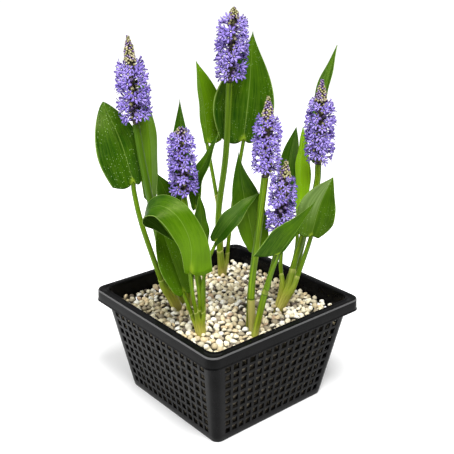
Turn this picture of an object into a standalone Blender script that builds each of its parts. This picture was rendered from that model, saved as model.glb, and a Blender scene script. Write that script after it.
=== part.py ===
"""Pickerel weed in a square pond basket: six violet flower spikes and seventeen heart-based
leaves that rise from five clumps, through a gravel top-dressing, out of a black mesh basket.

Run it with blender --background --python part.py, or from Blender's text editor.
Metres, +Z up. The origin is the centre of the basket's underside and the basket's sides
face the X and Y axes. The plants are placed in millimetres on three plainer directions,
seen from in front of the basket's near corner: right, near and up.
"""

from math import cos, pi, radians, sin

import bmesh
import bpy
from mathutils import Vector

MM = 0.001

# Basket
RIM_HALF = 0.1400
BASKET_HEIGHT = 0.1615
FLOOR_HALF = 0.1040
WALL_DRAFT = 0.1738
WALL = 0.0025
NECK = 0.1410
NECK_TOP_HALF = 0.1298
SKIRT_DROP = 0.0180
RIM_EDGE = 0.0015
CORNER_SHARE = 0.105
CORNER_STEPS = 3

# Lattice of openings: each slot stands for the square holes of one column, in two lengths
COLUMNS = 15
HOLE_ROWS = 9
SLOT_ROWS = ((0, 4), (4, 9))
LATTICE_SHARE = 0.86
LATTICE_BOTTOM = 0.0100
LATTICE_TOP = 0.1340
HOLE_SHARE = 0.62
SLOT_DEPTH = 0.0062

# Filling, with the waves of the gravel's top in radians a metre
GAP = 0.0004
SOIL_TOP = 0.1200
GRAVEL_TOP = 0.1400
GRAVEL_MARGIN = 0.0010
GRAVEL_LUMP = 0.0024
GRAVEL_CELLS = 13
COARSE_LUMPS, COARSE_SHARE = (260, 245), 0.55
FINE_LUMPS, FINE_SKEW, FINE_SHARE = (610, 570), (150, 130), 0.45
CORNER_ROOM = 1.2
CORNER_PULL = 0.25
FOOT = 0.1260
POCKET_GAP = 0.0005
POCKET_RISE = 0.012
POCKET_ROOM = 1.09

# Plants
FRONT_TURN = radians(50.0)
PATH_STEPS = 6
STALK_SIDES = 8
STEM_SIDES = 6
FOOT_SPREAD = 1.12
STEM_TAPER = 0.15
ROOTED = ("4", "5", "A2", "A3", "A4", "D1")
BLADE_ROWS = 6
BLADE_COLUMNS = 6
BLADE_THICKNESS = 0.0009
BLADE_WIDEST = 0.34
BLADE_USUAL = {"barb": 0.0, "shoulder": 0.66}
LOBE_ROUNDNESS = 0.8
MERGE = 0.00001
SPIKE_SIDES = 10
SPIKE_RINGS = 14
SPIKE_GROOVE = 0.72
SPIKE_FOOT, SPIKE_FOOT_SHARE = 0.55, 0.10
SPIKE_SHOULDER, SPIKE_SHOULDER_SHARE = 0.70, 0.18
BUD_REACH, BUD_TAPER = 0.40, 0.6

# Each crown, the bundle of sheathed stem bases that a clump rises from: foot, top, radii
CROWNS = {
    "A": ((-75, 0, 141), (-86, 0, 168), 6.2, 8.6),
    "B": ((-35, 84, 141), (-38, 81, 160), 6.2, 9.0),
    "C": ((-6, -117, 141), (-6, -118, 159), 5.6, 7.8),
    "E": ((82, 1, 141), (92, 1, 169), 7.2, 9.8),
}

# Each flower stalk: the points it passes up to the foot of its spike, and its radius
STALKS = {
    "1": ([(-85, -4, 171), (-106, -4, 297), (-118, -7, 370), (-124, -12, 412)], 5.0),
    "2": ([(-8, -113, 161), (-12, -110, 240), (0, -105, 344), (5, -98, 453)], 4.8),
    "3": ([(-34, 80, 162), (-35, 79, 200), (-42, 74, 247), (-56, 62, 332)], 4.3),
    "4": ([(37, 79, 141), (35, 79, 203), (41, 78, 266), (51, 76, 363)], 4.8),
    "5": ([(40, 91, 141), (53, 90, 204), (64, 88, 247), (69, 86, 282)], 4.4),
    "6": ([(93, 2, 173.5), (100, 2, 211), (109, 0, 246), (127, -3, 322), (129, -4, 357)], 4.5),
}

# Each flower spike: its foot, its tip, how far its petals reach and its bare bud share
SPIKES = {
    "1": ((-124, -12, 414), (-131, -20, 531), 24.4, 0.28),
    "2": ((6, -98, 456), (12, -98, 560), 25.6, 0.14),
    "3": ((-55, 62, 334), (-59, 58, 425), 20.4, 0.08),
    "4": ((52, 76, 365), (54, 72, 468), 20.5, 0.26),
    "5": ((69, 86, 285), (78, 80, 386), 19.9, 0.20),
    "6": ((129, -4, 359), (130, -10, 474), 22.2, 0.24),
}

# Each leaf: the points and radius of its stem, the midrib of its blade, the ways the blade's
# upper side faces from base to tip, its half width, how far its halves fold up in degrees,
# how far its lobes hang, and how sharp its tip is. Where its shoulders or the outer corners of
# its lobes (barb) are unusual they're given too. A pair is for the left half and the right half.
LEAVES = {
    "A1": dict(
        stem=[(-91, 4, 171), (-119, -2, 263), (-130, -13, 309)], radius=4.0,
        midrib=[(-131, -12, 330), (-148, -22, 387), (-172, -38, 438)],
        faces=[(0.15, 0.95, 0.25), (0.10, 0.90, 0.35)],
        half=(39, 27), fold=10, lobe=(7, 7), shoulder=(0.8, 0.5), sharp=0.75,
    ),
    "A2": dict(
        stem=[(-65, -14, 141), (-85, -22, 200), (-100, -32, 260)], radius=3.4,
        midrib=[(-108, -36, 300), (-108, -42, 367), (-114, -52, 433), (-123, -64, 483)],
        faces=[(-0.75, -0.55, 0.25), (-0.85, -0.40, 0.25)],
        half=22, fold=10, lobe=7, sharp=1,
    ),
    "A3": dict(
        stem=[(-55, 10, 141), (-57, 20, 200)], radius=3.2,
        midrib=[(-59, 38, 268), (-77, 42, 320), (-92, 38, 356)],
        faces=[(0.25, 0.90, 0.30), (0.30, 0.80, 0.50)],
        half=20, fold=12, lobe=7, sharp=1.1,
    ),
    "A4": dict(
        stem=[(-54, -5, 141), (-58, 8, 240)], radius=3.0,
        midrib=[(-60, 30, 326), (-61, 27, 387), (-61, 17, 453)],
        faces=[(0.05, 0.96, 0.20), (0.00, 0.95, 0.30)],
        half=15, fold=16, lobe=6, sharp=1.2,
    ),
    "B1": dict(
        stem=[(-39, 88, 165), (-44, 93, 199)], radius=3.0,
        midrib=[
            (-47, 98, 238), (-45, 102, 273), (-51, 103, 299), (-64, 101, 320), (-82, 95, 330),
            (-99, 87, 324), (-106, 81, 310), (-91, 77, 296), (-71, 76, 275),
        ],
        faces=[
            (0.30, 0.95, 0.10),
            (0.25, 0.95, 0.20),
            (-0.20, 0.45, 0.85),
            (-0.85, 0.05, 0.45),
            (-0.55, -0.80, -0.10),
        ],
        half=(21, 19), fold=4, lobe=(2, 6), shoulder=(0.38, 1.6), sharp=(0.9, 0.85), rows=14,
    ),
    "B2": dict(
        stem=[(-45, 83, 162), (-51, 82, 180)], radius=3.0,
        midrib=[(-58, 79, 203), (-75, 69, 252), (-92, 52, 300)],
        faces=[(0.35, 0.90, 0.25), (0.10, 0.85, 0.45)],
        half=(22, 23), fold=12, lobe=7, sharp=0.95,
    ),
    "B3": dict(
        stem=[(-37, 73.5, 162), (-37, 63, 240)], radius=2.6,
        midrib=[(-41, 48, 312), (-41, 44, 345), (-26, 38, 377), (-9, 28, 411)],
        faces=[(-0.50, 0.80, 0.20), (-0.55, 0.70, 0.45)],
        half=(8.5, 17), fold=24, lobe=5, sharp=1.1,
    ),
    "B4": dict(
        stem=[(-31, 73, 162), (-30, 69, 205)], radius=2.6,
        midrib=[(-30, 68, 258), (-32, 67, 295), (-35, 62, 336)],
        faces=[(0.60, 0.75, 0.20), (0.45, 0.80, 0.30)],
        half=(18, 9), fold=20, lobe=5, sharp=1,
    ),
    "B5": dict(
        stem=[(-31, 88, 164), (-31, 85, 213), (-23, 80, 248)], radius=2.6,
        midrib=[(-14, 77, 274), (4, 79, 299), (23, 76, 321), (44, 64, 338)],
        faces=[(-0.45, 0.75, 0.45), (-0.50, 0.60, 0.60)],
        half=(15, 15), fold=18, lobe=3, shoulder=(0.6, 0.5), sharp=1.1,
    ),
    "C1": dict(
        stem=[(1, -119, 161), (5, -118, 203), (14, -118, 280)], radius=3.4,
        midrib=[(27, -116, 364), (35, -122, 438), (40, -137, 522)],
        faces=[(-0.10, 0.96, 0.20), (-0.15, 0.90, 0.35)],
        half=(52, 41), fold=8, lobe=(9, 5), shoulder=(0.72, 0.5), sharp=(1.4, 1.25),
    ),
    "C2": dict(
        stem=[(-12, -119, 255), (-19, -124, 296)], radius=3.2,
        midrib=[(-28, -132, 355), (-34, -138, 412), (-45, -145, 477)],
        faces=[(0.45, 0.87, 0.15), (0.40, 0.87, 0.25)],
        half=(10, 33), fold=(14, 10), lobe=(3, 4), sharp=1.05,
    ),
    "D1": dict(
        stem=[(31, 66, 141), (33, 63, 200)], radius=2.6,
        midrib=[(39, 60, 253), (34, 58, 286), (25, 54, 327), (20, 50, 358), (17, 44, 388)],
        faces=[(-0.15, 0.96, 0.20), (-0.10, 0.92, 0.35)],
        half=(18, 25), fold=10, lobe=(2, 4), shoulder=(0.4, 0.75), sharp=(1.1, 1.7),
    ),
    "D2": dict(
        stem=[(56, 97, 212), (62, 99, 239)], radius=2.4,
        midrib=[(70, 104, 267), (80, 107, 284), (94, 110, 306), (114, 112, 343)],
        faces=[(-0.10, 0.95, 0.25), (-0.10, 0.90, 0.40)],
        half=(25, 10), fold=(4, 70), lobe=(7, 0), barb=(24, 0), shoulder=(1.05, 0.4), sharp=1.3,
    ),
    "E1": dict(
        stem=[(98, 11, 173), (110, 12, 214), (117, 14, 240)], radius=3.6,
        midrib=[(120, 24, 261), (130, 28, 308), (146, 30, 349)],
        faces=[(-0.15, 0.90, 0.35), (-0.30, 0.85, 0.40)],
        half=(28, 27), fold=12, lobe=(4, 0), shoulder=(0.7, 0.4), sharp=1.05,
    ),
    "E2": dict(
        stem=[(91, -8, 174.5), (103, -15, 224)], radius=2.8,
        midrib=[(107, -24, 276), (108, -34, 347), (110, -46, 400)],
        faces=[(0.70, -0.65, 0.10), (0.65, -0.70, 0.20)],
        half=(15.5, 13.5), fold=14, lobe=6, sharp=0.95,
    ),
    "E3": dict(
        stem=[(83, -1, 177), (81, -14, 212)], radius=3.2,
        midrib=[(90, -50, 278), (92, -60, 339), (103, -74, 393)],
        faces=[(-0.35, 0.90, 0.20), (-0.30, 0.88, 0.30)],
        half=(15, 19), fold=12, lobe=6, sharp=0.9,
    ),
    "E4": dict(
        stem=[(99, -6, 173), (113, -16, 230), (126, -30, 300)], radius=2.8,
        midrib=[(132, -43, 352), (139, -50, 438), (155, -60, 513)],
        faces=[(-0.85, 0.40, 0.30), (-0.80, 0.45, 0.35)],
        half=(20, 16), fold=20, lobe=6, sharp=1,
    ),
}


def clear_scene():
    for thing in list(bpy.data.objects):
        bpy.data.objects.remove(thing, do_unlink=True)


def collection(name):
    made = bpy.data.collections.new(name)
    bpy.context.scene.collection.children.link(made)
    return made


def material(name, colour, roughness):
    made = bpy.data.materials.new(name)
    made.use_nodes = True
    shader = made.node_tree.nodes["Principled BSDF"]
    shader.inputs["Base Color"].default_value = (*colour, 1.0)
    shader.inputs["Roughness"].default_value = roughness
    shader.inputs["Metallic"].default_value = 0.0
    made.diffuse_color = (*colour, 1.0)
    return made


def spot(right, near, up):
    """A place in metres from its millimetres to the right, nearer and up."""
    x = right * cos(FRONT_TURN) + near * sin(FRONT_TURN)
    y = right * sin(FRONT_TURN) - near * cos(FRONT_TURN)
    return Vector((x, y, up)) * MM


def smooth_path(points, count):
    """count + 1 places at even steps of a Catmull-Rom curve through the points."""
    ends = [points[0] * 2 - points[1], *points, points[-1] * 2 - points[-2]]
    spans = len(points) - 1
    places = []
    for step in range(count + 1):
        along = step / count * spans
        span = min(int(along), spans - 1)
        t = along - span
        a, b, c, d = ends[span : span + 4]
        curve = (b * 2) + (c - a) * t + (a * 2 - b * 5 + c * 4 - d) * t**2 + (b * 3 - a - c * 3 + d) * t**3
        places.append(curve / 2)
    return places


def finish(mesh_or_curve, name, where, look):
    thing = bpy.data.objects.new(name, mesh_or_curve)
    thing.data.materials.append(look)
    where.objects.link(thing)
    return thing


def mesh_from(bm, name):
    bmesh.ops.recalc_face_normals(bm, faces=bm.faces)
    mesh = bpy.data.meshes.new(name)
    bm.to_mesh(mesh)
    bm.free()
    return mesh


# Basket and filling


def wall_half(height):
    """The outer half width of the tapering wall at a height."""
    return FLOOR_HALF + height * WALL_DRAFT


def rounded_square(bm, half, height):
    """A closed ring of edges: a square of this half width with rounded corners."""
    radius = half * CORNER_SHARE
    ring = []
    for corner in range(4):
        quarter = (corner + 0.5) * pi / 2
        middle_x = (half - radius) * round(cos(quarter) * 2**0.5)
        middle_y = (half - radius) * round(sin(quarter) * 2**0.5)
        for step in range(CORNER_STEPS + 1):
            turn = (corner + step / CORNER_STEPS) * pi / 2
            ring.append(bm.verts.new((middle_x + radius * cos(turn), middle_y + radius * sin(turn), height)))
    return [bm.edges.new((ring[i], ring[(i + 1) % len(ring)])) for i in range(len(ring))]


def square_vessel(levels, name):
    """A solid drawn from one rounded square: extruded to each next level, and closed flat."""
    bm = bmesh.new()
    half, height = levels[0]
    ring = rounded_square(bm, half, height)
    bmesh.ops.contextual_create(bm, geom=ring)
    for next_half, next_height in levels[1:]:
        made = bmesh.ops.extrude_edge_only(bm, edges=ring)["geom"]
        verts = [item for item in made if isinstance(item, bmesh.types.BMVert)]
        ring = [item for item in made if isinstance(item, bmesh.types.BMEdge)]
        ring = [edge for edge in ring if all(vert in verts for vert in edge.verts)]
        for vert in verts:
            vert.co = (vert.co.x * next_half / half, vert.co.y * next_half / half, next_height)
        half = next_half
    bmesh.ops.contextual_create(bm, geom=ring)
    return mesh_from(bm, name)


def basket_levels():
    """Half width and height round the basket's section, from its underside to its inner floor."""
    under_rim = BASKET_HEIGHT - WALL
    skirt = BASKET_HEIGHT - SKIRT_DROP
    inner_edge = NECK_TOP_HALF - WALL / 2
    return (
        (FLOOR_HALF, 0.0),
        (wall_half(NECK), NECK),
        (NECK_TOP_HALF, under_rim),
        (RIM_HALF - WALL, under_rim),
        (RIM_HALF - WALL, skirt),
        (RIM_HALF, skirt),
        (RIM_HALF, BASKET_HEIGHT - RIM_EDGE),
        (RIM_HALF - RIM_EDGE, BASKET_HEIGHT),
        (inner_edge, BASKET_HEIGHT),
        (inner_edge - RIM_EDGE, BASKET_HEIGHT - RIM_EDGE),
        (wall_half(NECK) - WALL, NECK),
        (wall_half(WALL) - WALL, WALL),
    )


def slot_cutter(first_row, last_row, column):
    """One slot of the lattice on the side that faces -Y, as a wedge that follows the taper."""
    pitch_up = (LATTICE_TOP - LATTICE_BOTTOM) / HOLE_ROWS
    margin_up = pitch_up * (1 - HOLE_SHARE) / 2
    low = LATTICE_BOTTOM + first_row * pitch_up + margin_up
    high = LATTICE_BOTTOM + last_row * pitch_up - margin_up
    middle = (column + 0.5) / COLUMNS * 2 - 1
    reach = HOLE_SHARE / COLUMNS
    bm = bmesh.new()
    bmesh.ops.create_cube(bm, size=2.0)
    for vert in bm.verts:
        height = low if vert.co.z < 0 else high
        half = wall_half(height)
        depth = half + WALL if vert.co.y < 0 else half - SLOT_DEPTH
        across = (middle + vert.co.x * reach) * LATTICE_SHARE * half
        vert.co = (across, -depth, height)
    return bm


def cut(thing, cutter_mesh, name, cutters):
    """Takes a cutter's shape out of a piece."""
    cutter = bpy.data.objects.new(name, cutter_mesh)
    cutter.hide_render = True
    cutter.display_type = "WIRE"
    cutters.objects.link(cutter)
    boolean = thing.modifiers.new(name, "BOOLEAN")
    boolean.operation = "DIFFERENCE"
    boolean.solver = "EXACT"
    boolean.object = cutter
    return cutter


def make_basket(parts, cutters, look):
    basket = finish(square_vessel(basket_levels(), "basket"), "basket", parts, look)
    side = bmesh.new()
    for first_row, last_row in SLOT_ROWS:
        for column in range(COLUMNS):
            slot = slot_cutter(first_row, last_row, column)
            piece = mesh_from(slot, "slot")
            side.from_mesh(piece)
            bpy.data.meshes.remove(piece)
    slots = mesh_from(side, "side_slots")
    for quarter in range(4):
        cutter = cut(basket, slots, f"side_slots_{quarter}", cutters)
        cutter.rotation_euler.z = quarter * pi / 2
    return basket


def fill_half(height):
    """The half width that the filling may take inside the wall."""
    return wall_half(height) - WALL - GAP


def make_soil(parts, look):
    levels = ((fill_half(WALL + GAP), WALL + GAP), (fill_half(SOIL_TOP), SOIL_TOP))
    return finish(square_vessel(levels, "soil"), "soil", parts, look)


def lump(x, y):
    """Height of the gravel's rounded lumps over its mean level."""
    coarse = sin(x * COARSE_LUMPS[0] + 1.3) * sin(y * COARSE_LUMPS[1] + 0.4)
    along_x = sin(x * FINE_LUMPS[0] + y * FINE_SKEW[0])
    along_y = sin(y * FINE_LUMPS[1] - x * FINE_SKEW[1] + 2.0)
    return GRAVEL_LUMP * (COARSE_SHARE * coarse + FINE_SHARE * along_x * along_y)


def make_gravel(parts, cutters, look, stems):
    """A bed of gravel with a lumpy top, and a pocket for the foot of each stem."""
    low = SOIL_TOP + GAP
    bm = bmesh.new()
    bmesh.ops.create_grid(bm, x_segments=GRAVEL_CELLS, y_segments=GRAVEL_CELLS, size=1.0)
    half = fill_half(GRAVEL_TOP) - GRAVEL_MARGIN
    for vert in bm.verts:
        corner = max(0.0, abs(vert.co.x) + abs(vert.co.y) - 2 + CORNER_SHARE * CORNER_ROOM)
        pulled = half * (1 - corner * CORNER_PULL)
        x, y = vert.co.x * pulled, vert.co.y * pulled
        vert.co = (x, y, GRAVEL_TOP + lump(x, y))
    walls = bmesh.ops.extrude_face_region(bm, geom=list(bm.faces))
    shrink = fill_half(low) / fill_half(GRAVEL_TOP)
    for vert in (item for item in walls["geom"] if isinstance(item, bmesh.types.BMVert)):
        vert.co = (vert.co.x * shrink, vert.co.y * shrink, low)
    gravel = finish(mesh_from(bm, "gravel"), "gravel", parts, look)
    for stem in stems:
        pocket = stem_cutter(stem)
        cut(gravel, pocket, stem.name + "_pocket", cutters)
    return gravel


# Plants


def tube(name, places, radii, sides, where, look):
    """A round rod through the places, as a curve with filled caps. Its radii are in millimetres."""
    data = bpy.data.curves.new(name, "CURVE")
    data.dimensions = "3D"
    data.bevel_depth = MM
    data.bevel_resolution = sides // 2 - 2
    data.use_fill_caps = True
    line = data.splines.new("POLY")
    line.points.add(len(places) - 1)
    for point, place, radius in zip(line.points, places, radii):
        point.co = (*place, 1.0)
        point.radius = radius
    return finish(data, name, where, look)


def buried_foot(first, second):
    """Where a rod that leaves the gravel in this line ends below it."""
    lean = (second - first).normalized()
    return first + lean * ((FOOT - first.z) / lean.z)


def make_stem(name, points, radius, taper, sides, rooted, where, look):
    """A stem or stalk. One that's rooted in the gravel spreads a little at its foot."""
    places = smooth_path(points, PATH_STEPS)
    radii = []
    for step in range(PATH_STEPS + 1):
        share = step / PATH_STEPS
        spread = (FOOT_SPREAD - 1) * max(0.0, 1 - share * 2) if rooted else 0.0
        radii.append(radius * (1 + spread - taper * share))
    if rooted:
        places.insert(0, buried_foot(places[0], places[1]))
        radii.insert(0, radii[0])
    return tube(name, places, radii, sides, where, look)


def stem_cutter(stem):
    """The buried foot of a stem, a little wider, as a closed mesh to cut the gravel with."""
    foot, surface = stem.data.splines[0].points[:2]
    lean = (surface.co.xyz - foot.co.xyz).normalized()
    low = foot.co.xyz - lean * POCKET_GAP
    high = surface.co.xyz + lean * POCKET_RISE
    radius = (foot.radius * MM + POCKET_GAP) * POCKET_ROOM
    turn = lean.to_track_quat("Z", "Y")
    bm = bmesh.new()
    bmesh.ops.create_cone(
        bm, cap_ends=True, segments=STALK_SIDES, radius1=radius, radius2=radius, depth=1.0
    )
    for vert in bm.verts:
        across = turn @ Vector((vert.co.x, vert.co.y, 0.0))
        vert.co = low.lerp(high, vert.co.z + 0.5) + across
    return mesh_from(bm, stem.name + "_pocket")


def spike_reach(t, bud_share):
    """How far out a spike's lumps stand at a share of its height, as a share of its reach."""
    flowers = 1 - bud_share
    if t >= flowers:
        return BUD_REACH * ((1 - t) / bud_share) ** BUD_TAPER
    foot = min(1.0, SPIKE_FOOT + (1 - SPIKE_FOOT) * t / SPIKE_FOOT_SHARE)
    shoulder = min(1.0, SPIKE_SHOULDER + (1 - SPIKE_SHOULDER) * (flowers - t) / SPIKE_SHOULDER_SHARE)
    return foot * shoulder


def make_spike(name, foot, tip, reach, bud_share, where, look):
    """A flower spike: whorls of lumps that reach its petals' tips, and a narrow tip of buds."""
    turn = (tip - foot).normalized().to_track_quat("Z", "Y")
    bm = bmesh.new()
    bmesh.ops.create_uvsphere(bm, u_segments=SPIKE_SIDES, v_segments=SPIKE_RINGS, radius=1.0)
    rows = sorted({round(vert.co.z, 5) for vert in bm.verts})
    grooves = set()
    for vert in bm.verts:
        row = rows.index(round(vert.co.z, 5))
        t = row / (len(rows) - 1)
        side = round(Vector((0.0, 1.0)).angle_signed(vert.co.xy, 0.0) / (2 * pi) * SPIKE_SIDES)
        out = spike_reach(t, bud_share)
        if (row + side) % 2:
            grooves.add(vert)
            out *= SPIKE_GROOVE
        around = vert.co.xy.normalized() * reach * out if 0 < t < 1 else Vector((0.0, 0.0))
        vert.co = foot.lerp(tip, t) + turn @ Vector((around.x, around.y, 0.0))
    for face in list(bm.faces):
        low = [vert for vert in face.verts if vert in grooves]
        if len(face.verts) == 4 and len(low) == 2:
            bmesh.utils.face_split(face, low[0], low[1])
    return finish(mesh_from(bm, name), name, where, look)


def half_values(leaf, s):
    """The leaf's values for the half of its blade on this side of the midrib."""
    values = {**BLADE_USUAL, **leaf}
    return {key: value[s > 0] if isinstance(value, tuple) else value for key, value in values.items()}


def blade_half(t, values):
    """The blade's half width at a share of its length: rounded shoulders, then a point."""
    shoulder = values["shoulder"]
    if t < BLADE_WIDEST:
        return values["half"] * MM * (shoulder + (1 - shoulder) * sin(pi / 2 * t / BLADE_WIDEST))
    taper = max(0.0, cos(pi / 2 * (t - BLADE_WIDEST) / (1 - BLADE_WIDEST)))
    return values["half"] * MM * taper ** values["sharp"]


def make_blade(name, leaf, where, look):
    """A leaf blade: a sheet laid across its midrib, folded up at the sides, then thickened."""
    rows = leaf.get("rows", BLADE_ROWS)
    spine = smooth_path([spot(*point) for point in leaf["midrib"]], rows)
    faces = smooth_path([spot(*face).normalized() for face in leaf["faces"]], rows)
    bm = bmesh.new()
    bmesh.ops.create_grid(bm, x_segments=BLADE_COLUMNS, y_segments=rows, size=1.0)
    for vert in bm.verts:
        s = vert.co.x
        t = (vert.co.y + 1) / 2
        row = round(t * rows)
        along = (spine[min(rows, row + 1)] - spine[max(0, row - 1)]).normalized()
        across = along.cross(faces[row]).normalized()
        up = across.cross(along)
        values = half_values(leaf, s)
        fold = radians(values["fold"])
        out = s * blade_half(t, values)
        rounded = values["lobe"] * sin(pi * min(1.0, abs(s)) ** LOBE_ROUNDNESS) * (1 - t) ** 2
        pointed = values["barb"] * abs(s) ** 1.5 * (1 - t) ** 3
        hang = (rounded + pointed) * MM
        vert.co = spine[row] + across * out * cos(fold) + up * abs(out) * sin(fold) - along * hang
    bmesh.ops.remove_doubles(bm, verts=bm.verts, dist=MERGE)
    blade = finish(mesh_from(bm, name), name, where, look)
    thick = blade.modifiers.new("thickness", "SOLIDIFY")
    thick.thickness = BLADE_THICKNESS
    thick.offset = 0.0
    return blade


def behind_blade(leaf):
    """Where the leaf's stem ends: just behind the foot of the blade's midrib."""
    low, high = (spot(*point) for point in leaf["midrib"][:2])
    along = (high - low).normalized()
    face = spot(*leaf["faces"][0])
    up = (face - along * face.dot(along)).normalized()
    return low - up * (leaf["radius"] * MM + BLADE_THICKNESS)


def make_plants(parts, looks):
    """Every crown, stalk, spike and leaf. Returns the objects that stand in the gravel."""
    standing = []
    for label, (foot, top, low_radius, high_radius) in CROWNS.items():
        foot, top = spot(*foot), spot(*top)
        places = [buried_foot(foot, top), foot, top]
        radii = [low_radius, low_radius, high_radius]
        standing.append(tube(f"crown_{label}", places, radii, STALK_SIDES, parts, looks["crown"]))
    for label, (points, radius) in STALKS.items():
        points = [spot(*point) for point in points]
        stalk = make_stem(
            f"flower_stalk_{label}", points, radius, 0.0, STALK_SIDES, label in ROOTED, parts,
            looks["stem"],
        )
        standing.append(stalk)
    for label, (foot, tip, reach, bud_share) in SPIKES.items():
        name = f"flower_spike_{label}"
        make_spike(name, spot(*foot), spot(*tip), reach * MM, bud_share, parts, looks["flower"])
    for label, leaf in LEAVES.items():
        points = [*(spot(*point) for point in leaf["stem"]), behind_blade(leaf)]
        stem = make_stem(
            f"leaf_stem_{label}", points, leaf["radius"], STEM_TAPER, STEM_SIDES, label in ROOTED,
            parts, looks["stem"],
        )
        standing.append(stem)
        make_blade(f"leaf_blade_{label}", leaf, parts, looks["leaf"])
    return [thing for thing in standing if thing.data.splines[0].points[0].co.z < GRAVEL_TOP]


def main():
    clear_scene()
    parts = collection("pickerel_weed")
    cutters = collection("cutters")
    looks = {
        "crown": material("sheath_tan", (0.38, 0.36, 0.10), 0.55),
        "stem": material("stem_green", (0.20, 0.33, 0.04), 0.45),
        "leaf": material("leaf_green", (0.07, 0.20, 0.02), 0.40),
        "flower": material("petal_violet", (0.22, 0.16, 0.62), 0.60),
    }
    make_basket(parts, cutters, material("charcoal_plastic", (0.018, 0.018, 0.019), 0.42))
    make_soil(parts, material("dark_soil", (0.045, 0.032, 0.022), 0.95))
    rooted = make_plants(parts, looks)
    make_gravel(parts, cutters, material("pale_gravel", (0.55, 0.48, 0.36), 0.85), rooted)
    bpy.context.view_layer.update()


main()
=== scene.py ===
# %% [markdown]
# # Dressing a pickerel weed in its pond basket
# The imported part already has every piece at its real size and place. This lesson gives each
# one the surface of the real thing: black plastic with a lattice of holes, loose gravel, living
# stems, veined leaves and small violet flowers. Sizes are in metres, with +Z up and the origin
# under the middle of the basket.

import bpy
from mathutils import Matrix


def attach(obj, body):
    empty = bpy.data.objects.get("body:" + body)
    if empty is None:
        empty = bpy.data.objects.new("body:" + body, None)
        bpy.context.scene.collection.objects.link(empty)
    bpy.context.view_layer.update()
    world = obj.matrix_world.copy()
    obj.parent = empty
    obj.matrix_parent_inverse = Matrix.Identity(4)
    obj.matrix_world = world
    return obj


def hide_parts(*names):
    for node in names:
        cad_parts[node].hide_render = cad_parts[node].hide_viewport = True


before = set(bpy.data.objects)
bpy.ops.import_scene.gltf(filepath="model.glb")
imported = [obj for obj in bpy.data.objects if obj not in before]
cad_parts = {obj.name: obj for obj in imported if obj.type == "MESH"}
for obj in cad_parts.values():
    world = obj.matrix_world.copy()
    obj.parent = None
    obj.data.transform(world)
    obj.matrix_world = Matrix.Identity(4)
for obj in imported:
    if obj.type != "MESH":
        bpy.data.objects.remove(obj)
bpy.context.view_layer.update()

# %% [markdown]
# ## Places in the plant's own directions
# The plants are laid out as someone in front of the basket's near corner sees them: so many
# millimetres to the right, nearer, and up. Long thin things follow a smooth curve through a
# few points, because a stem bends evenly and never in corners.

# %% Directions and smooth paths
from math import cos, pi, radians, sin

import bmesh
import bpy
import numpy as np
from mathutils import Matrix, Vector, noise

MM = 0.001
FRONT_TURN = radians(50.0)


def spot(right, near, up):
    """A place, from its millimetres to the right, nearer and up."""
    x = right * cos(FRONT_TURN) + near * sin(FRONT_TURN)
    y = right * sin(FRONT_TURN) - near * cos(FRONT_TURN)
    return Vector((x, y, up)) * MM


def spots(points):
    """The places of several such points."""
    return [spot(*point) for point in points]


def smooth_path(points, count):
    """count + 1 places at even steps of a Catmull-Rom curve through the points."""
    ends = [points[0] * 2 - points[1], *points, points[-1] * 2 - points[-2]]
    spans = len(points) - 1
    places = []
    for step in range(count + 1):
        along = step / count * spans
        span = min(int(along), spans - 1)
        t = along - span
        a, b, c, d = ends[span : span + 4]
        bend = (a * 2 - b * 5 + c * 4 - d) * t**2 + (b * 3 - a - c * 3 + d) * t**3
        places.append((b * 2 + (c - a) * t + bend) / 2)
    return places


print("the near corner of the rim is at", [round(v, 3) for v in spot(0, 192, 161)])

# %% [markdown]
# ## Camera, light and floor
# The photo looks at the near corner from about 21 degrees above, with a long lens. A white
# floor fades into a white room with one large soft light high up and a weaker one on the left.
# The room is darker on the camera's side, which keeps black plastic black.

# %% Camera at the photo's angle
VIEW_LIFT = radians(20.9)
VIEW_ASIDE, VIEW_UP, VIEW_BACK = 0.0017, 0.2475, 1.2332
LENS, FAR_END = 63.1, 200.0


def show(name, data, home=bpy.context.scene.collection):
    """A new object, in the scene unless another home is named."""
    made = bpy.data.objects.new(name, data)
    home.objects.link(made)
    return made


back = Vector((sin(FRONT_TURN) * cos(VIEW_LIFT), -cos(FRONT_TURN) * cos(VIEW_LIFT), sin(VIEW_LIFT)))
right = Vector((cos(FRONT_TURN), sin(FRONT_TURN), 0.0))
up = back.cross(right)
camera = show("camera", bpy.data.cameras.new("camera"))
camera.data.lens = LENS
camera.data.clip_end = FAR_END
turned = Matrix((right, up, back)).transposed().to_4x4()
camera.matrix_world = Matrix.Translation(right * VIEW_ASIDE + up * VIEW_UP + back * VIEW_BACK) @ turned
bpy.context.scene.camera = camera
print("camera at", [round(v, 3) for v in camera.location])

# %% Helpers for nodes
SUMS = {"+": "ADD", "-": "SUBTRACT", "*": "MULTIPLY", "/": "DIVIDE"}


def feed(tree, kind, inputs=None, output=0, **settings):
    """Adds a node and returns one output. An input is a value or a socket to link from."""
    made = tree.nodes.new(kind)
    for key, value in settings.items():
        setattr(made, key, value)
    for key, value in (inputs or {}).items():
        if isinstance(value, bpy.types.NodeSocket):
            tree.links.new(value, made.inputs[key])
        elif made.inputs[key].type == "RGBA":
            made.inputs[key].default_value = (*value, 1.0)
        else:
            made.inputs[key].default_value = value
    return made.outputs[output]


def tree_of(*values):
    """The tree of the first socket among some values."""
    return next(value.id_data for value in values if isinstance(value, bpy.types.NodeSocket))


def calc(first, sign, second=0.0, clamp=False):
    """One sum on two numbers, such as calc(width, "/", 2.0)."""
    settings = dict(operation=SUMS.get(sign, sign), use_clamp=clamp)
    return feed(tree_of(first, second), "ShaderNodeMath", {0: first, 1: second}, **settings)


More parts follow.
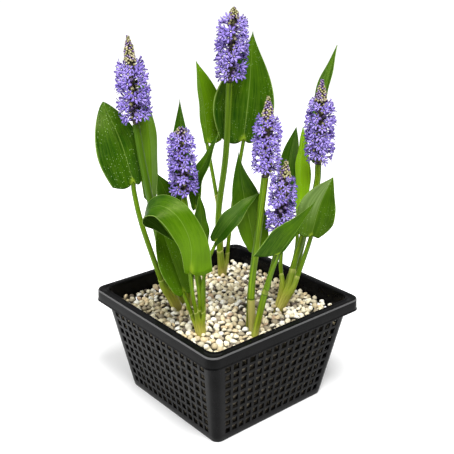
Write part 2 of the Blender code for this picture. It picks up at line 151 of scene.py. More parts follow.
def ramp(value, low, high, out_low=0.0, out_high=1.0):
    """Maps a number from one range to another with soft ends."""
    inputs = {"Value": value, "From Min": low, "From Max": high, "To Min": out_low, "To Max": out_high}
    return feed(value.id_data, "ShaderNodeMapRange", inputs, interpolation_type="SMOOTHSTEP")


def blend(factor, first, second, way="MIX"):
    """A mix of two colours."""
    inputs = {0: factor, 6: first, 7: second}
    return feed(tree_of(*inputs.values()), "ShaderNodeMix", inputs, 2, data_type="RGBA", blend_type=way)


def xyz(x=0.0, y=0.0, z=0.0):
    """A vector from three numbers."""
    return feed(tree_of(x, y, z), "ShaderNodeCombineXYZ", {0: x, 1: y, 2: z})


def own_place(tree):
    """Where a point of the surface is on its own piece."""
    return feed(tree, "ShaderNodeTexCoord", output="Object")


print("seven helpers for node trees")

# %% Helpers for materials and builds
def new_material(name, roughness, specular):
    """A material with a plain Principled shader. Returns it, its tree and the shader's inputs."""
    made = bpy.data.materials.new(name)
    made.use_nodes = True
    shader = made.node_tree.nodes["Principled BSDF"].inputs
    shader["Roughness"].default_value = roughness
    shader["Specular IOR Level"].default_value = specular
    return made, made.node_tree, shader


def build(*names):
    """An empty build whose vertices carry the named numbers."""
    bm = bmesh.new()
    for name in names:
        bm.verts.layers.float.new(name)
    return bm


def vertex(bm, place, *numbers):
    """A vertex with a value for each of its build's numbers."""
    made = bm.verts.new(place)
    for layer, value in zip(bm.verts.layers.float.values(), numbers):
        made[layer] = value
    return made


def join_rings(bm, rings, closed=True, leave_open=lambda level, k: False):
    """Walls between rings of equal length, and a face at both ends."""
    around = len(rings[0])
    for level, (low, high) in enumerate(zip(rings, rings[1:])):
        for k in range(around):
            after = (k + 1) % around
            if not leave_open(level, k):
                bm.faces.new((low[k], low[after], high[after], high[k]))
    if closed:
        bm.faces.new(rings[0][::-1])
        bm.faces.new(rings[-1])


def keep(name, bm, *materials, home=bpy.context.scene.collection):
    """Ends a build: its mesh, shaded smooth, becomes an object."""
    mesh = bpy.data.meshes.new(name)
    bm.to_mesh(mesh)
    bm.free()
    mesh.shade_smooth()
    for material in materials:
        mesh.materials.append(material)
    return show(name, mesh, home)


print("five helpers for materials and builds")

# %% World, lights and floor
ROOM_LIGHT, FRONT_SHADE = 0.46, 0.03
SOFTBOX_SIZE = 0.6
SOFTBOXES = {"key": ((220, 700, 1500), 33), "fill": ((-1200, 400, 900), 15)}
LIT_POINT = (0, 0, 250)
FLOOR_HALF_SIDE = 60.0
WHITE = (1.0, 1.0, 1.0, 1.0)
PAPER = (0.93, 0.93, 0.93, 1.0)

bpy.context.scene.view_settings.view_transform = "Standard"
world = bpy.data.worlds.new("studio")
bpy.context.scene.world = world
world.use_nodes = True
tree = world.node_tree
direction = feed(tree, "ShaderNodeTexCoord", output="Generated")
frontness = feed(tree, "ShaderNodeVectorMath", {0: direction, 1: back}, "Value", operation="DOT_PRODUCT")
shade = ramp(frontness, 0.30, 0.95, ROOM_LIGHT, FRONT_SHADE)
seen = feed(tree, "ShaderNodeLightPath", output="Is Camera Ray")
sky = tree.nodes["Background"].inputs
sky["Color"].default_value = WHITE
tree.links.new(feed(tree, "ShaderNodeMix", {0: seen, 2: shade, 3: 1.0}), sky["Strength"])
for name, (place, power) in SOFTBOXES.items():
    lamp = show(name, bpy.data.lights.new(name, "AREA"))
    lamp.data.size = SOFTBOX_SIZE
    lamp.data.energy = power
    lamp.location = spot(*place)
    lamp.rotation_euler = (spot(*LIT_POINT) - lamp.location).to_track_quat("-Z", "Y").to_euler()

paper, tree, shader = new_material("white_paper", 0.9, 0.1)
shader["Base Color"].default_value = PAPER
shader["Emission Color"].default_value = WHITE
# The floor glows, faintly near the basket and more the further out it lies: painted light that keeps the far
# floor white.
away = feed(tree, "ShaderNodeVectorMath", {0: own_place(tree)}, "Value", operation="LENGTH")
tree.links.new(ramp(away, 0.16, 0.60, 0.08, 0.75), shader["Emission Strength"])
bm = build()
bmesh.ops.create_grid(bm, x_segments=1, y_segments=1, size=FLOOR_HALF_SIDE)
keep("floor", bm, paper)
print("lights:", ", ".join(SOFTBOXES))

# %% [markdown]
# ## Trees that make what repeats
# Holes, pebbles, stems and florets follow rules, so Geometry Nodes make them. Each tree has
# named inputs for its sizes. It runs once on a seed mesh, and its result is kept as a plain
# mesh, because later steps need real vertices and not a live modifier.

# %% Helpers for geometry trees
def new_group(kind, name, inputs, outputs):
    """A node group, its sockets listed by their kind. Returns it, its inputs and its outputs."""
    tree = bpy.data.node_groups.new(name, kind + "NodeTree")
    for way, sockets in ("INPUT", inputs), ("OUTPUT", outputs):
        for socket, labels in sockets.items():
            for label in labels.split():
                tree.interface.new_socket(label, in_out=way, socket_type="NodeSocket" + socket)
    return tree, tree.nodes.new("NodeGroupInput").outputs, tree.nodes.new("NodeGroupOutput").inputs


def new_tree(name, inputs):
    """A geometry tree, which is given a seed mesh and a material too."""
    given = {"Geometry": "Geometry", "Material": "Material", **inputs}
    return new_group("Geometry", name, given, {"Geometry": "Geometry"})


def close_tree(tree, geometry, given, put):
    """Ends a tree: instances become real faces, which take the material."""
    real = feed(tree, "GeometryNodeRealizeInstances", {0: geometry})
    dressed = feed(tree, "GeometryNodeSetMaterial", {"Geometry": real, "Material": given["Material"]})
    tree.links.new(dressed, put[0])


def turned_by(angles):
    """A rotation from its three angles."""
    return feed(angles.id_data, "FunctionNodeEulerToRotation", {0: angles})


def stored(tree, name, kind="FLOAT"):
    """An attribute of the seed mesh, read by name."""
    made = feed(tree, "GeometryNodeInputNamedAttribute", {"Name": name}, data_type=kind).node
    return next(socket for socket in made.outputs if socket.enabled and socket.name == "Attribute")


def seed_mesh(name, points, edges=(), **numbers):
    """A mesh of bare points for a tree to work on, with numbers or vectors stored on each."""
    mesh = bpy.data.meshes.new(name)
    mesh.from_pydata([tuple(point) for point in points], list(edges), [])
    for label, values in numbers.items():
        values = np.array(values)
        if values.ndim == 0:
            values = np.full(len(points), values)
        kind = "FLOAT_VECTOR" if values.ndim == 2 else "INT" if values.dtype.kind == "i" else "FLOAT"
        layer = mesh.attributes.new(label, kind, "POINT")
        flat = values.ravel().astype(np.int32 if kind == "INT" else np.float32)
        layer.data.foreach_set("vector" if values.ndim == 2 else "value", flat)
    return mesh


def grow(name, mesh, tree, material, **inputs):
    """Runs a tree on a seed mesh and keeps the result as a plain mesh object."""
    made = show(name, mesh)
    modifier = made.modifiers.new(tree.name, "NODES")
    modifier.node_group = tree
    inputs["Material"] = material
    for item in tree.interface.items_tree:
        if item.in_out == "INPUT" and item.name in inputs:
            modifier[item.identifier] = inputs[item.name]
    graph = bpy.context.evaluated_depsgraph_get()
    plain = bpy.data.meshes.new_from_object(made.evaluated_get(graph), depsgraph=graph)
    plain.name = name
    made.modifiers.clear()
    made.data = plain
    return made


def dress(piece, slot, *nodes):
    """Lets a finished piece ride on the part, in the place of its solid. Returns its triangles."""
    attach(piece, "root")
    if nodes:
        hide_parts(*nodes)
    return sum(len(face.vertices) - 2 for face in piece.data.polygons)


print("eight helpers for geometry")

# %% [markdown]
# ## Effects that several materials share
# Real surfaces are never one flat colour. Two effects are built once as node groups: uneven
# mottling, for plastic, soil, stones and leaves, and fine lines that run along a thing, for
# the fibres of stems and the veins of leaves. Each material sets its own sizes.

# %% Shared shader effects
def specks(tree, place, scale, detail=2.0):
    """Soft noise, with about this many specks to the metre."""
    return feed(tree, "ShaderNodeTexNoise", {"Vector": place, "Scale": scale, "Detail": detail})


colours_in = {"Vector": "Place", "Float": "Size", "Color": "Low High"}
mottle, given, put = new_group("Shader", "Mottle", colours_in, {"Color": "Colour", "Float": "Mask Grain"})
density = calc(1.0, "/", given["Size"])
mask = ramp(specks(mottle, given["Place"], density, 4.0), 0.30, 0.70)
mottle.links.new(mask, put["Mask"])
mottle.links.new(specks(mottle, given["Place"], calc(density, "*", 6.0)), put["Grain"])
mottle.links.new(blend(mask, given["Low"], given["High"]), put["Colour"])

sizes_in = {"Vector": "Place", "Float": "Fineness Stretch"}
fibres, given, put = new_group("Shader", "Fibres", sizes_in, {"Float": "Lines Streaks"})
shrink = {0: given["Place"], 1: xyz(1.0, 1.0, given["Stretch"])}
drawn = feed(fibres, "ShaderNodeVectorMath", shrink, operation="MULTIPLY")
coarser = calc(given["Fineness"], "*", 0.3)
fibres.links.new(ramp(specks(fibres, drawn, given["Fineness"]), 0.35, 0.65), put["Lines"])
fibres.links.new(ramp(specks(fibres, drawn, coarser), 0.30, 0.70), put["Streaks"])


def mottled(tree, size, low, high):
    """The mottling of a surface between two colours; returns its colour, mask and grain."""
    inputs = {"Place": own_place(tree), "Size": size, "Low": low, "High": high}
    return feed(tree, "ShaderNodeGroup", inputs, node_tree=mottle).node.outputs


def fibred(tree, place, fineness, stretch):
    """Fine lines and wider streaks along a thing."""
    inputs = {"Place": place, "Fineness": fineness, "Stretch": stretch}
    return feed(tree, "ShaderNodeGroup", inputs, node_tree=fibres).node.outputs


def number(tree, name, output="Fac"):
    """A number that's stored on the piece, for its material."""
    return feed(tree, "ShaderNodeAttribute", output=output, attribute_name=name)


def layer(mask, amount, below, paint):
    """Lays a paint over a colour, where the mask says and as strongly as the amount says."""
    return blend(calc(mask, "*", amount), below, paint)


def pick(factor, stops, steps="LINEAR"):
    """A colour from a ramp of (place, colour) stops."""
    made = feed(factor.id_data, "ShaderNodeValToRGB", {0: factor})
    band = made.node.color_ramp
    band.interpolation = steps
    for count, (at, paint) in enumerate(stops):
        stop = band.elements[count] if count < 2 else band.elements.new(at)
        stop.position = at
        stop.color = (*paint, 1.0)
    return made


def finish(shader, colour, *relief):
    """Gives a shader its colour and, from a height, a distance and a strength, small relief."""
    tree = colour.id_data
    tree.links.new(colour, shader["Base Color"])
    if relief:
        made = feed(tree, "ShaderNodeBump", dict(zip(("Height", "Distance", "Strength"), relief)))
        tree.links.new(made, shader["Normal"])


print("effects:", mottle.name, fibres.name)

# %% [markdown]
# ## The basket
# A pond basket is one piece of moulded plastic: a tapering square tub with solid corner posts,
# a lattice of square holes on each side, and a rolled rim that hangs down as a skirt. Its
# section is drawn as one closed line of half widths and heights, and swept round a square with
# rounded corners. A window is left open in each side for the lattice, which comes next.

# %% The basket's section
FLOOR_HALF, WALL_DRAFT, WALL = 0.1040, 0.1738, 0.0025
CORNER_SHARE, CORNER_STEPS = 0.105, 8
COLUMNS, ROWS = 15, 9
LATTICE_SHARE, LATTICE_BOTTOM, LATTICE_TOP = 0.86, 0.0100, 0.1340
GLEAM_HALF, GLEAM_HEIGHT = 0.1380, 0.1590


def wall_half(height):
    """The outer half width of the tapering wall at a height."""
    return FLOOR_HALF + height * WALL_DRAFT


lattice_rows = [LATTICE_BOTTOM + (LATTICE_TOP - LATTICE_BOTTOM) * row / ROWS for row in range(ROWS + 1)]
outer_wall = [(wall_half(height), height) for height in lattice_rows]
inner_wall = [(half - WALL, height) for half, height in reversed(outer_wall)]
RIM_SECTION = [
    (128.5, 141.0), (129.6, 158.2), (130.4, 159.2), (137.2, 159.2), (138.0, 158.4),
    (138.4, 144.6), (138.9, 143.5), (140.2, 143.2), (140.9, 143.8), (140.9, 144.8), (140.4, 145.7),
    (140.2, 147.0), (139.9, 159.4), (139.5, 160.6), (138.8, 161.2), (137.9, 161.4),
    (131.9, 161.4), (131.4, 161.0), (130.7, 160.8), (130.0, 161.0), (129.6, 161.5),
    (128.9, 161.8), (128.2, 161.6), (127.7, 160.9), (127.3, 158.6), (127.1, 157.0), (126.0, 141.0),
]
SECTION = [
    (0.1020, 0.0), (0.1035, 0.0003), (0.1041, 0.0014), *outer_wall,
    *((half * MM, height * MM) for half, height in RIM_SECTION),
    *inner_wall, (0.1019, 0.0036), (0.1007, 0.0027),
]
print(len(SECTION), "levels round the section")

# %% [markdown]
# The lattice is one cell, repeated fifteen times across and nine times up on each side. Its
# ribs are highest where two cells meet and fall gently into the hole, as ribs must to leave a
# mould. The tree lays the cells out on a flat unit grid, moves every vertex to the sloping
# wall, turns four copies round and welds them into the windows of the swept tub, so the basket
# stays one closed shell.

# %% The swept tub with open windows
QUARTERS = [Matrix.Rotation(side * pi / 2, 3, "Z") for side in range(4)]
WINDOW_START = 3


def corner_point(half, radius, turn, height):
    """A place on the rounded corner of a square ring."""
    return Vector((half - radius + radius * sin(turn), -half + radius - radius * cos(turn), height))


bm = build("gleam")
rings = []
for half, height in SECTION:
    in_window = LATTICE_BOTTOM - MM < height < LATTICE_TOP + MM
    reach = LATTICE_SHARE * (wall_half(height) if in_window else half)
    side = [Vector((reach * (2 * k / COLUMNS - 1), -half, height)) for k in range(COLUMNS + 1)]
    turns = [pi / 2 * step / CORNER_STEPS for step in range(CORNER_STEPS + 1)]
    side += [corner_point(half, half * CORNER_SHARE, turn, height) for turn in turns]
    gleam = half > GLEAM_HALF and height > GLEAM_HEIGHT
    rings.append([vertex(bm, quarter @ place, gleam) for quarter in QUARTERS for place in side])
inner_start = len(SECTION) - WINDOW_START - ROWS
windows = [*range(WINDOW_START, WINDOW_START + ROWS), *range(inner_start, inner_start + ROWS)]
join_rings(bm, rings, leave_open=lambda level, k: level in windows and k % len(side) < COLUMNS)
tub = keep("basket_tub", bm)
print("tub:", len(tub.data.polygons), "faces")

# %% One cell of the lattice: its reach and depth from rib to hole and back to rib
CELL_RINGS = ((0.50, 0.00), (0.34, 0.10), (0.31, 0.34), (0.31, 0.80), (0.34, 1.00), (0.50, 1.00))
CELL_CORNERS = ((-1, -1), (1, -1), (1, 1), (-1, 1))

bm = build()
join_rings(bm, [
    [vertex(bm, (x * reach, y * reach, depth)) for x, y in CELL_CORNERS] for reach, depth in CELL_RINGS
], closed=False)
cell = keep("lattice_cell", bm)
print("a cell has", len(cell.data.polygons), "faces")

# %% The tree that lays out the lattice
WELD = 0.00002

lattice, given, put = new_tree("Lattice", {
    "Object": "Cell", "Int": "Columns Rows", "Float": "Bottom Top Base Draft Wall Share",
})
wide, high = (calc(1.0, "/", given[name]) for name in ("Columns", "Rows"))
centres = feed(lattice, "GeometryNodeMeshGrid", {
    "Vertices X": given["Columns"], "Vertices Y": given["Rows"],
    "Size X": calc(1.0, "-", wide), "Size Y": calc(1.0, "-", high),
})
cells = feed(lattice, "GeometryNodeInstanceOnPoints", {
    "Points": centres, "Scale": xyz(wide, high, 1.0),
    "Instance": feed(lattice, "GeometryNodeObjectInfo", {"Object": given["Cell"]}, "Geometry"),
})
flat_side = feed(lattice, "GeometryNodeRealizeInstances", {0: cells})
across, upward, inward = feed(lattice, "ShaderNodeSeparateXYZ", {
    0: feed(lattice, "GeometryNodeInputPosition"),
}).node.outputs
climb = calc(calc(upward, "+", 0.5), "*", calc(given["Top"], "-", given["Bottom"]))
height = calc(given["Bottom"], "+", climb)
half = calc(given["Base"], "+", calc(height, "*", given["Draft"]))
sideways = calc(calc(across, "*", 2.0), "*", calc(half, "*", given["Share"]))
depth = calc(calc(inward, "*", given["Wall"]), "-", half)
one_side = feed(lattice, "GeometryNodeSetPosition", {
    "Geometry": flat_side, "Position": xyz(sideways, depth, height),
})
quarter = calc(feed(lattice, "GeometryNodeInputIndex"), "*", pi / 2)
sides = feed(lattice, "GeometryNodeInstanceOnPoints", {
    "Points": feed(lattice, "GeometryNodeMeshLine", {"Count": 4, "Offset": (0.0, 0.0, 0.0)}),
    "Instance": one_side, "Rotation": turned_by(xyz(z=quarter)),
})
both = feed(lattice, "GeometryNodeJoinGeometry")
lattice.links.new(given["Geometry"], both.node.inputs[0])
lattice.links.new(feed(lattice, "GeometryNodeRealizeInstances", {0: sides}), both.node.inputs[0])
welded = feed(lattice, "GeometryNodeMergeByDistance", {"Geometry": both, "Distance": WELD})
close_tree(lattice, welded, given, put)
print("tree:", lattice.name)

# %% [markdown]
# A mould leaves black plastic smooth but not glossy, so its roughness changes in soft patches
# and it has a very fine grain. The rim's outer roll always catches some light, and a little of
# it is painted in.

# %% Black plastic, and the finished basket
plastic, tree, shader = new_material("black_plastic", 0.36, 0.06)
tones = mottled(tree, 0.020, (0.0020, 0.0020, 0.0021), (0.0040, 0.0040, 0.0042))
lit_rim = ramp(number(tree, "gleam"), 0.95, 1.00, 0.0, 0.60)
finish(shader, blend(lit_rim, tones["Colour"], (0.14, 0.14, 0.14)), tones["Grain"], 0.0002, 0.35)
tree.links.new(ramp(tones["Mask"], 0.0, 1.0, 0.16, 0.24), shader["Roughness"])

basket = grow(
    "basket_lattice", tub.data, lattice, plastic, Cell=cell, Columns=COLUMNS, Rows=ROWS, Wall=WALL,
    Bottom=LATTICE_BOTTOM, Top=LATTICE_TOP, Base=FLOOR_HALF, Draft=WALL_DRAFT, Share=LATTICE_SHARE,
)
basket.data.shade_smooth()
basket.data.set_sharp_from_angle(angle=radians(38))
print("basket:", dress(basket, "basket_plastic", "basket"), "triangles")
for used in (tub, cell):
    bpy.data.objects.remove(used)

# %% [markdown]
# ## Soil behind the lattice
# Dark soil fills the tub and shows through the holes. It is swept like the tub, a little inside
# the wall, and noise pushes every vertex in or out, so that each hole shows its own crumbs. Its
# corners are rounder than the tub's, and gravel fills them.

# %% Soil
SOIL_TOP, SOIL_BOTTOM = 0.1215, 0.0034
SOIL_GAP, SOIL_CRUMB = 0.0012, 0.0016
SOIL_CORNER_SHARE = 0.32
SOIL_LEVELS, SOIL_POINTS = 46, 52

bm = build()
rings = []
for level in range(SOIL_LEVELS + 1):
    height = SOIL_BOTTOM + (SOIL_TOP - SOIL_BOTTOM) * level / SOIL_LEVELS
    half = wall_half(height) - WALL - SOIL_GAP
    radius = half * SOIL_CORNER_SHARE
    straight = 2 * (half - radius)
    rings.append([])
    for k in range(4 * SOIL_POINTS):
        side, step = divmod(k, SOIL_POINTS)
        along = step / SOIL_POINTS * (straight + radius * pi / 2)
        place = Vector((along - straight / 2, -half, height))
        if along >= straight:
            place = corner_point(half, radius, (along - straight) / radius, height)
        place = QUARTERS[side] @ place
        crumb = noise.noise(place * 330) + 0.6 * noise.noise(place * 800)
        outward = Vector((place.x, place.y, 0.0)).normalized()
        rings[-1].append(vertex(bm, place - outward * SOIL_CRUMB * (0.55 + 0.45 * crumb)))
join_rings(bm, rings)

earth, tree, shader = new_material("dark_soil", 0.9, 0.3)
tones = mottled(tree, 0.006, (0.050, 0.042, 0.028), (0.190, 0.165, 0.120))
finish(shader, tones["Colour"], tones["Grain"], 0.0006, 0.8)
print("soil:", dress(keep("soil_crumbs", bm, earth), "soil", "soil"), "triangles")

# %% [markdown]
# ## Where everything grows
# These are the part's own points, for the bundles at the clumps' feet, the flower stalks, the
# spikes and the leaves. A leaf has its stem, its midrib and the ways it faces along it, then its
# half width and tones, how far its halves fold up and its lobes hang, and how sharp it is.

# %% The points of every clump, with radii in millimetres
CROWNS = {
    "A": ((-75, 0, 141), (-86, 0, 168), 6.2), "B": ((-35, 84, 141), (-38, 81, 160), 6.2),
    "C": ((-6, -117, 141), (-6, -118, 159), 5.6), "E": ((82, 1, 141), (92, 1, 169), 7.2),
}
STALKS = {
    "1": ([(-85, -4, 171), (-106, -4, 297), (-118, -7, 370), (-124, -12, 412)], 5.0),
    "2": ([(-8, -113, 161), (-12, -110, 240), (0, -105, 344), (5, -98, 453)], 4.8),
    "3": ([(-34, 80, 162), (-35, 79, 200), (-42, 74, 247), (-56, 62, 332)], 4.3),
    "4": ([(37, 79, 141), (35, 79, 203), (41, 78, 266), (51, 76, 363)], 4.8),
    "5": ([(40, 91, 141), (53, 90, 204), (64, 88, 247), (69, 86, 282)], 4.4),
    "6": ([(93, 2, 173.5), (100, 2, 211), (109, 0, 246), (127, -3, 322), (129, -4, 357)], 4.5),
}
SPIKES = {
    "1": ((-124, -12, 414), (-131, -20, 531), 24.4, 0.28),
    "2": ((6, -98, 456), (12, -98, 560), 25.6, 0.14),
    "3": ((-55, 62, 334), (-59, 58, 425), 20.4, 0.08),
    "4": ((52, 76, 365), (54, 72, 468), 20.5, 0.26),
    "5": ((69, 86, 285), (78, 80, 386), 19.9, 0.20),
    "6": ((129, -4, 359), (130, -10, 474), 22.2, 0.24),
}


def leaf(stem, radius, midrib, faces, half, tone, **other):
    """A leaf's values. A pair is for the blade's left and right half, or for a tone's two ends."""
    usual = dict(fold=12, lobe=6, shoulder=0.66, sharp=1.0, barb=0.0, wet=0.0, sheen=0.0)
    return dict(usual, stem=stem, radius=radius, midrib=midrib, faces=faces, half=half, tone=tone, **other)


LEAVES = {
    "A1": leaf(
        [(-91, 4, 171), (-119, -2, 263), (-130, -13, 309)], 4.0,
        [(-131, -12, 330), (-148, -22, 387), (-172, -38, 438)], [(15, 95, 25), (10, 90, 35)],
        (39, 27), (0.00, 0.07), fold=10, lobe=7, shoulder=(0.8, 0.5), sharp=0.75, wet=1.0),
    "A2": leaf(
        [(-65, -14, 141), (-85, -22, 200), (-100, -32, 260)], 3.4,
        [(-108, -36, 300), (-108, -42, 367), (-114, -52, 433), (-123, -64, 483)],
        [(-75, -55, 25), (-85, -40, 25)], 22, (0.29, 0.29), fold=10, lobe=7),
    "A3": leaf(
        [(-55, 10, 141), (-57, 20, 200)], 3.2, [(-59, 38, 268), (-77, 42, 320), (-92, 38, 356)],
        [(25, 90, 30), (30, 80, 50)], 20, (0.06, 0.06), lobe=7, sharp=1.1),
    "A4": leaf(
        [(-54, -5, 141), (-58, 8, 240)], 3.0, [(-60, 30, 326), (-61, 27, 387), (-61, 17, 453)],
        [(5, 96, 20), (0, 95, 30)], 15, (0.00, 0.03), fold=16, sharp=1.2),
    "B1": leaf(
        [(-39, 88, 165), (-44, 93, 199)], 3.0,
        [(-47, 98, 238), (-45, 102, 273), (-51, 103, 299), (-64, 101, 320), (-82, 95, 330),
         (-99, 87, 324), (-106, 81, 310), (-91, 77, 296), (-71, 76, 275)],
        [(30, 95, 10), (25, 95, 20), (-20, 45, 85), (-85, 5, 45), (-55, -80, -10)],
        (21, 19), (0.42, 0.00), fold=4, lobe=(2, 6), shoulder=(0.38, 1.6), sharp=(0.9, 0.85)),
    "B2": leaf(
        [(-45, 83, 162), (-51, 82, 180)], 3.0, [(-58, 79, 203), (-75, 69, 252), (-92, 52, 300)],
        [(35, 90, 25), (10, 85, 45)], (22, 23), (0.21, 0.15), lobe=7, sharp=0.95, wet=0.5),
    "B3": leaf(
        [(-37, 73.5, 162), (-37, 63, 240)], 2.6,
        [(-41, 48, 312), (-41, 44, 345), (-26, 38, 377), (-9, 28, 411)],
        [(-50, 80, 20), (-55, 70, 45)], (8.5, 17), (0.06, 0.06), fold=24, lobe=5, sharp=1.1),
    "B4": leaf(
        [(-31, 73, 162), (-30, 69, 205)], 2.6, [(-30, 68, 258), (-32, 67, 295), (-35, 62, 336)],
        [(60, 75, 20), (45, 80, 30)], (18, 9), (0.26, 0.10), fold=20, lobe=5),
    "B5": leaf(
        [(-31, 88, 164), (-31, 85, 213), (-23, 80, 248)], 2.6,
        [(-14, 77, 274), (4, 79, 299), (23, 76, 321), (44, 64, 338)], [(-45, 75, 45), (-50, 60, 60)],
        15, (0.00, 0.04), fold=18, lobe=3, shoulder=(0.6, 0.5), sharp=1.1, sheen=0.15),
    "C1": leaf(
        [(1, -119, 161), (5, -118, 203), (14, -118, 280)], 3.4,
        [(27, -116, 364), (35, -122, 438), (40, -137, 522)], [(-10, 96, 20), (-15, 90, 35)],
        (52, 41), (0.00, 0.12), fold=8, lobe=(9, 5), shoulder=(0.72, 0.5), sharp=(1.4, 1.25), wet=0.7),
    "C2": leaf(
        [(-12, -119, 255), (-19, -124, 296)], 3.2,
        [(-28, -132, 355), (-34, -138, 412), (-45, -145, 477)], [(45, 87, 15), (40, 87, 25)],
        (10, 33), (0.28, 0.36), fold=(14, 10), lobe=(3, 4), sharp=1.05, wet=0.8, sheen=0.15),
    "D1": leaf(
        [(31, 66, 141), (33, 63, 200)], 2.6,
        [(39, 60, 253), (34, 58, 286), (25, 54, 327), (20, 50, 358), (17, 44, 388)],
        [(-15, 96, 20), (-10, 92, 35)],
        (18, 25), (0.42, 0.02), fold=10, lobe=(2, 4), shoulder=(0.4, 0.75), sharp=(1.1, 1.7)),
    "D2": leaf(
        [(56, 97, 212), (62, 99, 239)], 2.4,
        [(70, 104, 267), (80, 107, 284), (94, 110, 306), (114, 112, 343)], [(-10, 95, 25), (-10, 90, 40)],
        (25, 10), (0.00, 0.12), fold=(4, 70), lobe=(7, 0), barb=(24, 0), shoulder=(1.05, 0.4), sharp=1.3),
    "E1": leaf(
        [(98, 11, 173), (110, 12, 214), (117, 14, 240)], 3.6,
        [(120, 24, 261), (130, 28, 308), (146, 30, 349)], [(-15, 90, 35), (-30, 85, 40)],
        (28, 27), (0.14, 0.14), lobe=(4, 0), shoulder=(0.7, 0.4), sharp=1.05, wet=0.8, sheen=0.70),
    "E2": leaf(
        [(91, -8, 174.5), (103, -15, 224)], 2.8, [(107, -24, 276), (108, -34, 347), (110, -46, 400)],
        [(70, -65, 10), (65, -70, 20)], (15.5, 13.5), (0.90, 0.86), fold=14, sharp=0.95, wet=0.6),
    "E3": leaf(
        [(83, -1, 177), (81, -14, 212)], 3.2, [(90, -50, 278), (92, -60, 339), (103, -74, 393)],
        [(-35, 90, 20), (-30, 88, 30)], (15, 19), (0.00, 0.02), sharp=0.9),
    "E4": leaf(
        [(99, -6, 173), (113, -16, 230), (126, -30, 300)], 2.8,
        [(132, -43, 352), (139, -50, 438), (155, -60, 513)], [(-85, 40, 30), (-80, 45, 35)],
        (20, 16), (0.10, 0.12), fold=20),
}
ROOTED = ("4", "5", "A2", "A3", "A4", "D1")
FOOT = 0.1260


def bare_stem(key):
    """The points and the radius of a stalk or of a leaf's stem."""
    return STALKS[key] if key in STALKS else (LEAVES[key]["stem"], LEAVES[key]["radius"])


print(len(STALKS), "flower stalks and", len(LEAVES), "leaves")

# %% [markdown]
# ## Gravel
# A top-dressing of rounded gravel keeps the soil in the basket. Real stones lie where they
# stop rolling, so each one is dropped: of a few places near where it falls, it takes the
# lowest, resting on the stones under it. Only those that can be seen are kept.

# %% Where each stone comes to rest
GRAVEL_TOP = 0.1432
STONE_RADII = (0.0030, 0.0043, 0.0062)
STONE_SINK, STONE_FLATNESS = 0.72, 0.75
BOWL_RIM, BOWL_FLOOR, CORNER_FLOOR = 0.1356, 0.1225, 0.0900
VISIBLE_DEPTH = 0.0115
MISSES_ALLOWED = 260

rng = np.random.default_rng(11)
feet = [(low, radius) for low, high, radius in CROWNS.values()]
feet += [(points[0], radius) for points, radius in map(bare_stem, ROOTED)]
feet_at = np.array([spot(*point)[:2] for point, radius in feet])
feet_wide = np.array([radius * MM for point, radius in feet])
top_half = wall_half(GRAVEL_TOP) - WALL


def outside_corner(x, y, half, corner):
    """How far a place lies outside a square of this half width with rounded corners."""
    from_corner = np.hypot(np.maximum(abs(x) - half + corner, 0), np.maximum(abs(y) - half + corner, 0))
    return from_corner - corner


def bed_floor(x, y):
    """What the lowest stones lie on: soil, heaped at the walls and missing in the corners."""
    floor_here = np.where(outside_corner(x, y, top_half - 0.009, 0.03) > 0, BOWL_RIM, BOWL_FLOOR)
    in_corner = outside_corner(x, y, top_half - 0.001, top_half * SOIL_CORNER_SHARE) > 0
    return np.where(in_corner & (abs(x) + abs(y) > top_half * 1.8), CORNER_FLOOR, floor_here)


stones = np.zeros((0, 4))
misses = 0
while misses < MISSES_ALLOWED:
    radius = rng.triangular(*STONE_RADII)
    x, y = rng.uniform(-top_half, top_half, 2)[:, None] + rng.normal(0, radius, (2, 7))
    room = outside_corner(x, y, top_half - radius * 0.9, 0.012 - radius * 0.4)
    apart = np.hypot(x[:, None] - feet_at[:, 0], y[:, None] - feet_at[:, 1]) - feet_wide
    z = bed_floor(x, y) + radius * STONE_FLATNESS
    if len(stones):
        gap = np.hypot(x[:, None] - stones[:, 0], y[:, None] - stones[:, 1])
        reach = radius + stones[:, 3]
        stacked = stones[:, 2] + STONE_SINK * np.sqrt(np.maximum(reach**2 - gap**2, 0))
        z = np.maximum(z, np.where(gap < reach, stacked, 0).max(axis=1))
    z[(room > 0) | (apart.min(axis=1) < radius * STONE_FLATNESS)] = 1.0
    best = z.argmin()
    if z[best] + radius * STONE_FLATNESS > GRAVEL_TOP:
        misses += 1
        continue
    misses = 0
    stones = np.vstack((stones, (x[best], y[best], z[best], radius)))
stones[:, :2] *= ((wall_half(stones[:, 2]) - WALL) / top_half)[:, None]
near_top = stones[:, 2] > GRAVEL_TOP - VISIBLE_DEPTH
in_corner = abs(stones[:, 0]) + abs(stones[:, 1]) > top_half * 1.72
stones = stones[near_top | in_corner]
print("stones kept:", len(stones))

# %% Six pebbles, and the tree that lays them out
PEBBLE_SHAPES = 6
PEBBLE_WAVES = ((1.1, 0.22), (2.6, 0.09))

shapes = bpy.data.collections.new("pebble_shapes")
for count in range(PEBBLE_SHAPES):
    bm = build("top")
    bmesh.ops.create_uvsphere(bm, u_segments=9, v_segments=7, radius=1.0)
    offset = Vector((count * 7.3, count * 3.1, 5.0))
    for vert in bm.verts:
        vert[bm.verts.layers.float["top"]] = vert.co.z
        vert.co *= 1 + sum(share * noise.noise(vert.co * wave + offset) for wave, share in PEBBLE_WAVES)
    keep(f"pebble_{count}", bm, home=shapes)

pebbles, given, put = new_tree("Pebbles", {"Collection": "Shapes"})
laid = feed(pebbles, "GeometryNodeInstanceOnPoints", {
    "Points": given["Geometry"], "Pick Instance": True, "Instance Index": stored(pebbles, "shape", "INT"),
    "Instance": feed(pebbles, "GeometryNodeCollectionInfo", {
        "Collection": given["Shapes"], "Separate Children": True, "Reset Children": True,
    }),
    "Rotation": turned_by(stored(pebbles, "turn", "FLOAT_VECTOR")),
    "Scale": stored(pebbles, "size", "FLOAT_VECTOR"),
})
close_tree(pebbles, laid, given, put)
print(PEBBLE_SHAPES, "pebbles;", "tree:", pebbles.name)
